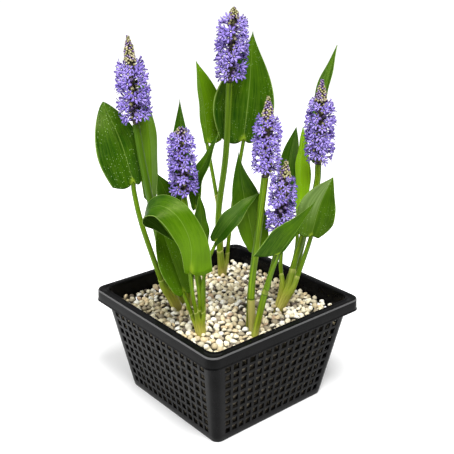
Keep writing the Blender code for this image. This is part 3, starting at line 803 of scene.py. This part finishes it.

# %% [markdown]
# Washed river gravel is a mix of rocks: mostly cream and beige, with grey, tan, rust and a few
# nearly black ones. Each stone carries one random number, which picks its colour from a ramp,
# and painted shade darkens it towards its underside.

# %% Stone colours, and the finished gravel
STONE_COLOURS = (
    (0.00, (0.16, 0.13, 0.10)), (0.05, (0.36, 0.31, 0.22)), (0.14, (0.60, 0.51, 0.33)),
    (0.28, (0.84, 0.76, 0.53)), (0.44, (0.92, 0.86, 0.66)), (0.58, (0.66, 0.60, 0.44)),
    (0.68, (0.95, 0.91, 0.76)), (0.80, (0.76, 0.62, 0.39)), (0.88, (0.96, 0.95, 0.88)),
    (0.97, (0.58, 0.42, 0.28)),
)

stone, tree, shader = new_material("washed_gravel", 0.75, 0.35)
tones = mottled(tree, 0.0022, (0.80, 0.77, 0.70), (1.0, 1.0, 1.0))
rocks = pick(number(tree, "tint"), STONE_COLOURS, "CONSTANT")
mixed = blend(1.0, rocks, tones["Colour"], "MULTIPLY")
# Each stone darkens towards its underside: painted shade.
shaded_below = blend(ramp(number(tree, "top"), -0.65, 0.30), (0.05, 0.04, 0.025), mixed)
finish(shader, shaded_below, tones["Grain"], 0.0004, 0.6)

count = len(stones)
flatness = [rng.uniform(low, high, count) for low, high in ((1.0, 1.18), (0.90, 1.0), (0.72, 0.92))]
turns = np.column_stack((rng.normal(0, 0.4, (count, 2)), rng.uniform(0, 2 * pi, count)))
dropped = seed_mesh(
    "gravel_stones", stones[:, :3], size=np.column_stack(flatness) * stones[:, 3:], turn=turns,
    shape=rng.integers(0, PEBBLE_SHAPES, count), tint=rng.random(count),
)
gravel = grow("gravel_stones", dropped, pebbles, stone, Shapes=shapes)
print("gravel:", dress(gravel, "gravel", "gravel"), "triangles")

# %% [markdown]
# ## Stems and stalks
# A stem is a smooth tube along its path, with fine fibres running lengthwise. One tree makes
# them all. It carries two directions to the surface, round the stem and along it, so that the
# fibres follow every bend without a seam.

# %% The tree for stems
stem_tree, given, put = new_tree("Stem", {"Int": "Sides", "Float": "Wrap"})
factor = feed(stem_tree, "GeometryNodeSplineParameter", output="Factor")
angle = calc(factor, "*", 2 * pi)
circle = feed(stem_tree, "GeometryNodeCurvePrimitiveCircle", {"Resolution": given["Sides"], "Radius": 1.0})
marked = feed(stem_tree, "GeometryNodeStoreNamedAttribute", {
    "Geometry": circle, "Name": "around", "Value": xyz(calc(angle, "COSINE"), calc(angle, "SINE")),
}, data_type="FLOAT_VECTOR")
wrapped = feed(stem_tree, "ShaderNodeVectorMath", {
    0: feed(stem_tree, "GeometryNodeInputPosition"),
    "Scale": calc(calc(factor, "*", given["Wrap"]), "+", 1.0),
}, operation="SCALE")
swept = feed(stem_tree, "GeometryNodeCurveToMesh", {
    "Curve": feed(stem_tree, "GeometryNodeMeshToCurve", {"Mesh": given["Geometry"]}),
    "Profile Curve": feed(stem_tree, "GeometryNodeSetPosition", {"Geometry": marked, "Position": wrapped}),
    "Scale": stored(stem_tree, "thick"), "Fill Caps": True,
})
around = stored(stem_tree, "around", "FLOAT_VECTOR")
slope = calc(feed(stem_tree, "ShaderNodeSeparateXYZ", {0: around}), "*", stored(stem_tree, "slant"))
slanted = feed(stem_tree, "ShaderNodeVectorMath", {
    0: stored(stem_tree, "lean", "FLOAT_VECTOR"), "Scale": slope,
}, operation="SCALE")
cut_off = feed(stem_tree, "GeometryNodeSetPosition", {"Geometry": swept, "Offset": slanted})
close_tree(stem_tree, feed(stem_tree, "GeometryNodeSetShadeSmooth", {"Geometry": cut_off}), given, put)
print("tree:", stem_tree.name)


def stem_seed(name, places, radii, slant=0.0, husk=0.0, tone=0.5):
    """The path of a stem as a mesh of points and edges, with what its tree needs on each."""
    last = len(places) - 1
    edges = [(k, k + 1) for k in range(last)]
    leans = [(places[min(k + 1, last)] - places[max(k - 1, 0)]).normalized() for k in range(last + 1)]
    numbers = dict(slant=slant, husk=husk, tone=tone, along=np.linspace(0.0, 1.0, last + 1))
    return seed_mesh(name, places, edges, thick=radii, lean=leans, **numbers)


def skin_fibres(tree, up, fineness, stretch):
    """Fibres on a stem's skin, from the direction round it and a number that grows along it."""
    place = {0: number(tree, "around", "Vector"), 1: xyz(z=up)}
    return fibred(tree, feed(tree, "ShaderNodeVectorMath", place, operation="ADD"), fineness, stretch)


# %% Living stems: colour from the pale foot to the green above
STEM_STEPS = 60
FOOT_SPREAD, STEM_TAPER = 0.12, 0.15
STEM_LOW, STEM_RISE = 0.141, 0.309
STEM_GREENS = (
    (0.000, (0.46, 0.42, 0.10)), (0.055, (0.30, 0.32, 0.03)), (0.126, (0.13, 0.21, 0.004)),
    (0.239, (0.085, 0.175, 0.001)), (0.515, (0.048, 0.115, 0.0006)), (1.000, (0.026, 0.072, 0.0004)),
)
STALK_TONES = {"1": 0.10, "2": 0.50, "3": 0.80, "4": 0.80, "6": 0.85}
# One stalk keeps a husk up to these heights, and one has a ring, above which it's thinner.
STALK_HUSKS = {"4": (0.176, 0.191)}
STALK_NODES = {"5": (0.206, 0.80)}
RING_HALF, RING_SWELL, HALF_HUSK = 0.0035, 1.12, 0.46

stem_skin, tree, shader = new_material("stem_skin", 0.40, 0.14)
height = feed(tree, "ShaderNodeSeparateXYZ", {0: own_place(tree)}, "Z")
fine = skin_fibres(tree, calc(height, "*", 12.0), 7.0, 0.25)
husk = number(tree, "husk")
greens = pick(calc(calc(height, "-", STEM_LOW), "/", STEM_RISE), STEM_GREENS)
streaked = layer(fine["Streaks"], number(tree, "tone"), greens, (0.21, 0.33, 0.004))
lined = layer(fine["Lines"], 0.55, streaked, (0.022, 0.060, 0.001))
dried = blend(ramp(husk, 0.35, 0.65), lined, (0.34, 0.32, 0.08))
# A thin dark line where the husk and the ring end: painted shade under their edges.
husk_edge_shaded = layer(ramp(husk, 0.04, 0.16), ramp(husk, 0.28, 0.16), dried, (0.02, 0.02, 0.004))
finish(shader, husk_edge_shaded, fine["Lines"], 0.0003, 0.4)


def buried_foot(first, second):
    """Where a stem that leaves the gravel in this line ends below it."""
    lean = (second - first).normalized()
    return first + lean * ((FOOT - first.z) / lean.z)


def stem_line(key):
    """A stem's places, which end at its spike or just behind its blade's foot, and its radius."""
    points, radius = bare_stem(key)
    places = spots(points)
    if key in LEAVES:
        low, high = spots(LEAVES[key]["midrib"][:2])
        rise = (high - low).normalized()
        face = spot(*LEAVES[key]["faces"][0])
        places.append(low - (face - rise * face.dot(rise)).normalized() * (radius * MM + 0.0009))
    return places, radius * MM


def make_stem(key):
    """A stem or stalk. One that's rooted in the gravel spreads a little at its foot."""
    points, radius = stem_line(key)
    places = smooth_path(points, STEM_STEPS)
    spread = FOOT_SPREAD if key in ROOTED else 0.0
    taper = 0.0 if key in STALKS else STEM_TAPER
    shares = [step / STEM_STEPS for step in range(STEM_STEPS + 1)]
    radii = [radius * (1 + spread * max(0.0, 1 - share * 2) - taper * share) for share in shares]
    if key in ROOTED:
        places.insert(0, buried_foot(*places[:2]))
        radii.insert(0, radii[0])
    low, high = STALK_HUSKS.get(key, (0.0, 0.0))
    husk = [max(0.0, HALF_HUSK * (place.z < low), min(1.0, (high - place.z) / 0.003)) for place in places]
    node, thinner = STALK_NODES.get(key, (9.0, 1.0))
    for k, place in enumerate(places):
        if place.z > node:
            radii[k] *= thinner
        if abs(place.z - node) < RING_HALF:
            radii[k] *= RING_SWELL
            husk[k] = HALF_HUSK
    name, solid = ("stalk_", "flower_stalk_") if key in STALKS else ("stem_", "leaf_stem_")
    seed = stem_seed(name + key, places, radii, husk=husk, tone=STALK_TONES.get(key, 0.5))
    return dress(grow(name + key, seed, stem_tree, stem_skin, Sides=16, Wrap=0.0), "stem", solid + key)


print("stems:", sum(make_stem(key) for key in (*STALKS, *LEAVES)), "triangles")

# %% [markdown]
# ## Sheathed feet of the clumps
# Every stem of a clump is wrapped at its foot in a pale sheath, the base of an older leaf, and
# the sheaths press together into one bundle. Each is a tube round its stem that starts in the
# gravel, swells, and ends in a slanting edge. It is rolled like a scroll, so an edge shows.

# %% Sheaths: how far in millimetres each rises up its stem, and how much it swells
SHEATH_STEPS = 14
SHEATH_SNUG = 1.04
SHEATH_SLANTS = (0.0012, 0.0026)
SHEATH_TONES = {"A": 1.00, "B": 0.80, "C": 0.30, "E": 0.85}
SHEATHS = {
    "A": {"1": (24, 1.25), "A1": (20, 1.30)},
    "B": {"3": (16, 1.25), "B1": (12, 1.35), "B2": (10, 1.3), "B3": (12, 1.3), "B4": (14, 1.3),
          "B5": (14, 1.3)},
    "C": {"2": (26, 1.25), "C1": (16, 1.3), "C2": (20, 1.3)},
    "E": {"6": (30, 1.25), "E1": (22, 1.3), "E2": (14, 1.3), "E3": (12, 1.3), "E4": (20, 1.3)},
}

sheath_skin, tree, shader = new_material("sheath_skin", 0.45, 0.18)
along = number(tree, "along")
fine = skin_fibres(tree, along, 6.0, 0.3)
dull = pick(along, (
    (0.0, (0.15, 0.11, 0.03)), (0.35, (0.24, 0.20, 0.045)), (0.70, (0.15, 0.18, 0.01)),
    (0.94, (0.09, 0.15, 0.004)), (1.0, (0.30, 0.30, 0.08)),
))
fresh = pick(along, (
    (0.0, (0.48, 0.37, 0.14)), (0.25, (0.52, 0.49, 0.08)), (0.55, (0.36, 0.47, 0.02)),
    (0.92, (0.16, 0.30, 0.004)), (1.0, (0.50, 0.56, 0.14)),
))
husk = blend(number(tree, "tone"), dull, fresh)
lined = layer(fine["Lines"], 0.45, husk, (0.10, 0.11, 0.008))
streaked = layer(fine["Streaks"], 0.25, lined, (0.50, 0.52, 0.12))
finish(shader, streaked, fine["Lines"], 0.0003, 0.5)


def sheath_seed(crown, key, rise, swell):
    """The path of one sheath: out of the gravel, through the bundle and some way up its stem."""
    foot, top = spots(CROWNS[crown][:2])
    stem, radius = stem_line(key)
    aside = (stem[0] - top) * 0.55
    upper = [place for place in smooth_path(stem, 40) if (place - stem[0]).length <= rise * MM]
    points = [buried_foot(foot, top) + aside * 0.6, foot.lerp(top, 0.4) + aside, stem[0], upper[-1]]
    bulges = [sin(pi * min(1.0, step / SHEATH_STEPS * 1.15 + 0.12)) for step in range(SHEATH_STEPS + 1)]
    radii = [radius * (SHEATH_SNUG + (swell - SHEATH_SNUG) * bulge) for bulge in bulges]
    slants = [0.0] * (SHEATH_STEPS - 1) + [*SHEATH_SLANTS]
    return stem_seed("sheath", smooth_path(points, SHEATH_STEPS), radii, slants, tone=SHEATH_TONES[crown])


for crown, stems in SHEATHS.items():
    bm = build()
    for key, (rise, swell) in stems.items():
        seed = sheath_seed(crown, key, rise, swell)
        sheath = grow("sheath", seed, stem_tree, sheath_skin, Sides=18, Wrap=0.16)
        bm.from_mesh(sheath.data)
        bpy.data.objects.remove(sheath)
    piece = keep(f"sheaths_{crown}", bm, sheath_skin)
    print("sheaths of clump", crown + ":", dress(piece, "sheath", f"crown_{crown}"), "triangles")

# %% [markdown]
# ## Leaf blades
# A blade is a thin sheet with rounded lobes at its base and a point at its tip. Its veins run
# in long arches from base to tip. The sheet is laid out in the same two directions, across and
# along, so a line of equal share across is such a vein, and the shader needs no picture.

# %% Leaf skins: a waxy upper side and a paler, duller under side
def leaf_skin(name, roughness, dark, bright, vein_strength):
    """A leaf's green, with its veins, midrib, pale edge, foot, painted shade at the margins, painted sheen
    and painted glints on drops.
    """
    made, tree, shader = new_material(name, roughness, 0.16)
    shader["Specular Tint"].default_value = (0.9, 1.0, 0.35, 1.0)
    across, along, tone = (number(tree, name) for name in ("across", "along", "tone"))
    aside = calc(across, "ABSOLUTE")
    veins = fibred(tree, xyz(across, tone, along), 26.0, 0.06)
    patches = mottled(tree, 0.03, (0.0, 0.0, 0.0), (1.0, 1.0, 1.0))["Mask"]
    uneven = calc(calc(patches, "*", 0.08), "-", 0.04)
    # Each half darkens a little towards its margin: painted shade that rounds the blade.
    level = calc(calc(tone, "-", ramp(aside, 0.35, 0.95, 0.0, 0.05)), "+", uneven, clamp=True)
    streaks = calc(calc(veins["Streaks"], "-", 0.5), "*", vein_strength * 0.3)
    green = blend(calc(level, "+", streaks, clamp=True), dark, bright)
    thin = layer(veins["Lines"], vein_strength, green, (0.10, 0.18, 0.012))
    rib = ramp(aside, 0.006, 0.028, 0.28, 0.0)
    edge = ramp(aside, 0.950, 0.985, 0.0, 0.55)
    lined = blend(calc(rib, "MAXIMUM", edge), thin, (0.24, 0.36, 0.07))
    near_foot = ramp(along, 0.0, 0.08, 1.0, 0.0)
    footed = layer(near_foot, ramp(aside, 0.03, 0.24, 0.75, 0.0), lined, (0.26, 0.38, 0.02))
    # A pale grey-green sheen in streaks on the left halves of some leaves: a painted reflection.
    sheen_streaks = ramp(veins["Streaks"], 0.0, 1.0, 0.55, 1.0)
    sheen_painted = layer(number(tree, "sheen"), sheen_streaks, footed, (0.17, 0.25, 0.08))
    # Pale dots where water drops sit: the drops are real, their brightness is painted glint.
    drops = feed(tree, "ShaderNodeTexVoronoi", {"Vector": own_place(tree), "Scale": 330.0}, "Distance")
    drop_glints = calc(ramp(drops, 0.12, 0.24, 0.60, 0.0), "*", ramp(patches, 0.35, 0.75))
    glinted = layer(drop_glints, number(tree, "wet"), sheen_painted, (0.34, 0.48, 0.20))
    finish(shader, glinted, veins["Lines"], 0.0003, 0.35)
    return made


leaf_skins = (
    leaf_skin("leaf_upper", 0.33, (0.0055, 0.036, 0.0003), (0.20, 0.42, 0.0008), 0.20),
    leaf_skin("leaf_under", 0.55, (0.010, 0.048, 0.0006), (0.21, 0.42, 0.0010), 0.35),
)
print("leaf skins:", [skin.name for skin in leaf_skins])

# %% The blades
BLADE_ROWS, BLADE_COLUMNS = 40, 24
BLADE_THICKNESS, BLADE_WIDEST = 0.0008, 0.34
LOBE_ROUNDNESS = 0.8
MIDRIB_WIDTH, MIDRIB_DEPTH = 0.07, 0.0009
WAVE_HEIGHT, WAVE_COUNT, WAVE_SHIFT = 0.0016, 5.0, 1.3
SHEEN_START, SHEEN_ASIDE = 0.5, -0.03


def blade_half(t, half, shoulder, sharp):
    """The blade's half width at a share of its length: rounded shoulders, then a point."""
    if t < BLADE_WIDEST:
        return half * MM * (shoulder + (1 - shoulder) * sin(pi / 2 * t / BLADE_WIDEST))
    return half * MM * max(0.0, cos(pi / 2 * (t - BLADE_WIDEST) / (1 - BLADE_WIDEST))) ** sharp


def make_blade(name, leaf):
    """A closed thin blade, with what its skins need stored on every vertex."""
    spine = smooth_path(spots(leaf["midrib"]), BLADE_ROWS)
    faces = smooth_path([face.normalized() for face in spots(leaf["faces"])], BLADE_ROWS)
    sides = [{key: value[side] if isinstance(value, tuple) else value for key, value in leaf.items()}
             for side in (0, 1)]
    phase = sum(map(ord, name))
    foot_tone, tip_tone = leaf["tone"]
    sheet = []
    for row in range(BLADE_ROWS + 1):
        t = row / BLADE_ROWS
        rise = (spine[min(BLADE_ROWS, row + 1)] - spine[max(0, row - 1)]).normalized()
        aside = rise.cross(faces[row]).normalized()
        front = aside.cross(rise)
        tone = foot_tone + (tip_tone - foot_tone) * min(1.0, t * 1.6)
        upper_half = min(max(t * 3.0 - SHEEN_START, 0.0), 1.0)
        for column in range(BLADE_COLUMNS + 1):
            s = column / BLADE_COLUMNS * 2 - 1
            side = sides[s > 0]
            fold = radians(side["fold"])
            out = s * max(blade_half(t, side["half"], side["shoulder"], side["sharp"]), 0.0003)
            rounded = side["lobe"] * sin(pi * abs(s) ** LOBE_ROUNDNESS) * (1 - t) ** 2
            hang = (rounded + side["barb"] * abs(s) ** 1.5 * (1 - t) ** 3) * MM
            swing = sin(WAVE_COUNT * pi * t + phase + WAVE_SHIFT * (s > 0)) * sin(pi * t)
            groove = MIDRIB_DEPTH * np.exp(-((s / MIDRIB_WIDTH) ** 2)) * (1 - t)
            lifted = abs(out) * sin(fold) + WAVE_HEIGHT * abs(s) ** 3 * swing - groove
            place = spine[row] + aside * out * cos(fold) + front * lifted - rise * hang
            # The painted sheen lies on the left half and fades in from a sixth to half of the way up.
            sheen = leaf["sheen"] * (s < SHEEN_ASIDE) * upper_half
            sheet.append((place, front * BLADE_THICKNESS / 2, (s, t, tone, sheen, leaf["wet"])))
    bm = build("across", "along", "tone", "sheen", "wet")
    layers = [[vertex(bm, at + half * way, *numbers) for at, half, numbers in sheet] for way in (1, -1)]
    columns = BLADE_COLUMNS + 1
    for layer_number, verts in enumerate(layers):
        for row in range(BLADE_ROWS):
            for a in range(row * columns, row * columns + BLADE_COLUMNS):
                quad = (verts[a], verts[a + 1], verts[a + columns + 1], verts[a + columns])
                bm.faces.new(quad[::-1] if layer_number else quad).material_index = layer_number
    last = BLADE_ROWS * columns
    border = [*range(BLADE_COLUMNS), *range(BLADE_COLUMNS, last + BLADE_COLUMNS, columns),
              *range(last + BLADE_COLUMNS, last, -1), *range(last, 0, -columns)]
    for first, second in zip(border, border[1:] + border[:1]):
        bm.faces.new((layers[0][second], layers[0][first], layers[1][first], layers[1][second]))
    bmesh.ops.recalc_face_normals(bm, faces=bm.faces)
    return keep(name, bm, *leaf_skins)


total = sum(dress(make_blade(f"blade_{key}", LEAVES[key]), "leaf", f"leaf_blade_{key}") for key in LEAVES)
print("leaf blades:", total, "triangles")

# %% [markdown]
# ## Flower spikes
# A spike carries some seventy small flowers on a spiral round its stalk, each turned by the
# golden angle from the one below. A flower is a long narrow tube that opens into six lobes, with
# a pale eye in a dark throat. The lobes curl outward and are solid slivers with a ridge.

# %% One flower, its numbers the share along a lobe and the ridge
LOBES = 6
TUBE_LENGTH, THROAT = 0.0130, 0.0016
LOBE_LENGTH, LOBE_HALF_WIDTH = 0.0090, 0.00165
SHORT_LOBE = 0.88
LOBE_STATIONS = ((0.0, 0.45), (0.25, 0.75), (0.5, 0.95), (0.72, 1.0), (0.9, 0.72), (1.0, 0.30))
LOBE_LEANS = radians(22), radians(66)
TUBE = ((0.0006, 0.0, 0.40), (0.0008, TUBE_LENGTH * 0.6, 0.40), (THROAT, TUBE_LENGTH, 0.12))
EYE = ((0.00075, 0.0001, 0.0), (0.0009, 0.0007, 0.0), (0.0005, 0.0013, 0.0))


def around_axis(turn, height=0.0):
    """A direction square to the flower's own axis."""
    return Vector((cos(turn), sin(turn), height))


bm = build("lobe", "ridge")
turns = [2 * pi * k / LOBES for k in range(LOBES)]
for rings in TUBE, [(radius, TUBE_LENGTH + rise, share) for radius, rise, share in EYE]:
    join_rings(bm, [[
        vertex(bm, (radius * cos(turn), radius * sin(turn), height), share) for turn in turns
    ] for radius, height, share in rings])
for lobe in range(LOBES):
    outward = around_axis(2 * pi * (lobe + 0.5) / LOBES)
    sideways = around_axis(2 * pi * (lobe + 0.5) / LOBES + pi / 2)
    length = LOBE_LENGTH * (1.0 if lobe % 2 else SHORT_LOBE)
    centre = outward * THROAT * 0.8 + Vector((0.0, 0.0, TUBE_LENGTH - 0.0002))
    before = 0.0
    rings = []
    for share, wide in LOBE_STATIONS:
        lean = LOBE_LEANS[0] + (LOBE_LEANS[1] - LOBE_LEANS[0]) * share
        centre += (outward * sin(lean) + Vector((0.0, 0.0, cos(lean)))) * length * (share - before)
        before = share
        above = outward * -cos(lean) + Vector((0.0, 0.0, sin(lean)))
        edge = sideways * LOBE_HALF_WIDTH * wide
        shade = 0.15 + 0.85 * share
        rings.append([
            vertex(bm, centre - edge, shade), vertex(bm, centre - above * 0.0004, shade),
            vertex(bm, centre + edge, shade), vertex(bm, centre + above * 0.0003, shade, 1.0),
        ])
    join_rings(bm, rings)
bmesh.ops.recalc_face_normals(bm, faces=bm.faces)
flower = keep("flower", bm)
FLOWER_LENGTH = max(vert.co.z for vert in flower.data.vertices)
print("a flower is", round(FLOWER_LENGTH / MM, 1), "mm long")

# %% One bud, and the tree that sets flowers and buds on a spike
BUD_LENGTH, BUD_HALF_WIDTH = 0.0046, 0.0021

bm = build("lobe")
bmesh.ops.create_uvsphere(bm, u_segments=8, v_segments=7, radius=1.0)
for vert in bm.verts:
    share = (vert.co.z + 1) / 2
    vert[bm.verts.layers.float["lobe"]] = share
    wide = BUD_HALF_WIDTH * (0.65 + 0.45 * share)
    vert.co = (vert.co.x * wide, vert.co.y * wide, share * BUD_LENGTH)
bud = keep("bud", bm)

spike_tree, given, put = new_tree("Spike", {"Object": "Part"})
facing = feed(spike_tree, "FunctionNodeAlignRotationToVector", {
    "Vector": stored(spike_tree, "facing", "FLOAT_VECTOR"),
}, axis="Z")
roll = turned_by(xyz(z=stored(spike_tree, "roll")))
set_on = feed(spike_tree, "GeometryNodeInstanceOnPoints", {
    "Points": given["Geometry"], "Scale": stored(spike_tree, "size"),
    "Instance": feed(spike_tree, "GeometryNodeObjectInfo", {"Object": given["Part"]}, "Geometry"),
    "Rotation": feed(spike_tree, "FunctionNodeRotateRotation", {0: facing, 1: roll}, rotation_space="LOCAL"),
})
close_tree(spike_tree, set_on, given, put)
print("tree:", spike_tree.name)

# %% Petal and bud finishes
petal, tree, shader = new_material("petal_violet", 0.50, 0.35)
share = number(tree, "lobe")
# Near black in the throat and at the lobes' feet is painted shade in the flower's hollow.
lilac = pick(share, (
    (0.00, (0.80, 0.76, 0.62)), (0.04, (0.60, 0.55, 0.55)), (0.10, (0.03, 0.012, 0.07)),
    (0.22, (0.10, 0.055, 0.27)), (0.36, (0.36, 0.28, 0.65)), (0.70, (0.28, 0.20, 0.56)),
    (0.88, (0.09, 0.055, 0.26)), (1.00, (0.022, 0.010, 0.09)),
))
on_lobe = ramp(share, 0.15, 0.30)
# Each lobe's ridge is painted lighter: a painted highlight.
ridge_lit = layer(calc(number(tree, "ridge"), "*", on_lobe), 0.40, lilac, (0.45, 0.38, 0.86))
deep = layer(calc(number(tree, "tint"), "*", on_lobe), 0.50, ridge_lit, (0.09, 0.045, 0.36))
finish(shader, deep)

# Each bud is near black at its foot and lightens towards its tip: painted shade in the gaps between buds.
BUD_STOPS = (0.0, 0.5, 0.8, 1.0)
VIOLET_STOPS = (0.0, 0.45, 0.85, 1.0)
VIOLETS = ((0.012, 0.006, 0.018), (0.035, 0.015, 0.06), (0.07, 0.03, 0.14), (0.30, 0.24, 0.34))
OLIVES = ((0.010, 0.008, 0.006), (0.03, 0.025, 0.010), (0.16, 0.15, 0.05), (0.32, 0.30, 0.13))
CREAMS = ((0.012, 0.010, 0.006), (0.07, 0.06, 0.025), (0.30, 0.26, 0.13), (0.44, 0.40, 0.26))
bud_skin, tree, shader = new_material("bud_skin", 0.5, 0.35)
share = number(tree, "lobe")
violet = pick(share, list(zip(VIOLET_STOPS, VIOLETS)))
olive, cream = (pick(share, list(zip(BUD_STOPS, paints))) for paints in (OLIVES, CREAMS))
tint = number(tree, "tint")
dark_or_olive = blend(ramp(tint, 0.30, 0.40), violet, olive)
finish(shader, blend(ramp(tint, 0.62, 0.72), dark_or_olive, cream))

# The stalk inside a spike is near black with olive specks: painted shade deep among the flowers.
core_shade_skin, tree, shader = new_material("spike_core", 0.6, 0.3)
finish(shader, mottled(tree, 0.004, (0.016, 0.008, 0.018), (0.07, 0.07, 0.015))["Colour"])
print("petals and buds are coloured by their shares along")

# %% The six spikes
GOLDEN_ANGLE = radians(137.5)
FLOWER_STEP, BUD_STEP, BUD_ROOM = 0.053, 0.055, 12.5
BLOOM_BUDS, SMALLEST_FLOWER = (0.9, 1.6), 0.558
CORE_RADIUS, CORE_TIP, CORE_STEPS = 0.0044, 0.0010, 24
SPIKE_FOOT, SPIKE_FOOT_SHARE = 0.55, 0.10
SPIKE_SHOULDER, SPIKE_SHOULDER_SHARE = 0.70, 0.18
BUD_REACH, BUD_TAPER = 0.44, 0.42


def spike_reach(t, bare):
    """How far out a spike reaches at a share of its height, as a share of its widest."""
    bloom = 1 - bare
    if t >= bloom:
        return BUD_REACH * (max(0.0, 1 - t) / bare) ** BUD_TAPER
    foot = min(1.0, SPIKE_FOOT + (1 - SPIKE_FOOT) * t / SPIKE_FOOT_SHARE)
    return foot * min(1.0, SPIKE_SHOULDER + (1 - SPIKE_SHOULDER) * (bloom - t) / SPIKE_SHOULDER_SHARE)


def core_at(t, reach, bare):
    """The radius of the stalk inside a spike: full in the bloom, a cone inside the tip."""
    inside = reach * spike_reach(t, bare) - BUD_LENGTH * 0.9
    return CORE_RADIUS if t < 1 - bare else max(CORE_TIP, min(CORE_RADIUS, inside))


def out_of(axis, spin, lift=0.0):
    """A direction out of a spike, turned round its axis and lifted towards its tip."""
    direction = Vector((cos(spin) * cos(lift), sin(spin) * cos(lift), sin(lift)))
    return axis.normalized().to_track_quat("Z", "Y") @ direction


def spiral(count, jitter, start=0.0):
    """The share and the turn of each flower or bud up a spiral."""
    for turn in range(count):
        yield (turn + 0.5) / count, GOLDEN_ANGLE * turn + start + rng.normal(0, jitter)


def set_out(name, items, part, material):
    """Sets flowers or buds on a spike, each at a place, with a facing, a size and a tint."""
    places, facings, sizes, tints = zip(*items)
    rolls = rng.uniform(0, 2 * pi, len(items))
    seed = seed_mesh(name, places, facing=facings, size=sizes, roll=rolls, tint=tints)
    return grow(name, seed, spike_tree, material, Part=part)


for key, (foot, tip, reach, bare) in SPIKES.items():
    foot, tip = spots((foot, tip))
    axis = tip - foot
    reach *= MM
    bloom = 1 - bare
    step_room = axis.length * bloom / reach
    flowers = []
    for share, spin in spiral(round(step_room / FLOWER_STEP), 0.16):
        t = 0.05 + (bloom - 0.08) * share
        lift = -0.10 + 0.55 * t + rng.normal(0, 0.20)
        size = (reach * spike_reach(t, bare) - CORE_RADIUS * 0.7) * rng.uniform(0.86, 1.02)
        size = max(size, SMALLEST_FLOWER * reach) / FLOWER_LENGTH
        place = foot + axis * t + out_of(axis, spin) * CORE_RADIUS * 0.7
        flowers.append((place, out_of(axis, spin, lift), size, rng.random()))
    petals = set_out(f"flowers_{key}", flowers, flower, petal)
    buds = []
    for share, spin in spiral(round(step_room / BUD_STEP), 0.2, 1.0):
        place = foot + axis * bloom * share + out_of(axis, spin) * CORE_RADIUS * 0.8
        size = rng.uniform(*BLOOM_BUDS) * min(1.0, spike_reach(bloom * share, bare) + 0.25)
        buds.append((place, out_of(axis, spin, 0.35 + rng.normal(0, 0.2)), size, rng.random() * 0.70))
    cone = 2 * pi * BUD_REACH * reach * axis.length / MM**2 * bare / (1 + BUD_TAPER)
    for share, spin in spiral(round(cone / BUD_ROOM), 0.1):
        t = 1 - bare * share ** (1 / (1 + BUD_TAPER)) * 1.02
        place = foot + axis * (t - 0.012) + out_of(axis, spin) * core_at(t, reach, bare) * 0.9
        size = rng.uniform(0.80, 1.05) * (0.75 + 0.30 * (1 - t) / bare)
        facing = out_of(axis, spin, 0.35 + ((t - bloom) / bare) ** 2)
        buds.append((place, facing, size, 0.05 + 0.82 * rng.random()))
    tips = set_out(f"buds_{key}", buds, bud, bud_skin)
    shares = [step / CORE_STEPS for step in range(CORE_STEPS + 1)]
    line = [foot + axis * (share * 0.98 - 0.01) for share in shares]
    seed = stem_seed(f"spike_core_{key}", line, [core_at(share, reach, bare) for share in shares])
    core = grow(f"spike_core_{key}", seed, stem_tree, core_shade_skin, Sides=12, Wrap=0.0)
    total = dress(petals, "petals", f"flower_spike_{key}") + dress(tips, "petals") + dress(core, "stem")
    print("spike", key + ":", total, "triangles")
for used in (flower, bud):
    bpy.data.objects.remove(used)
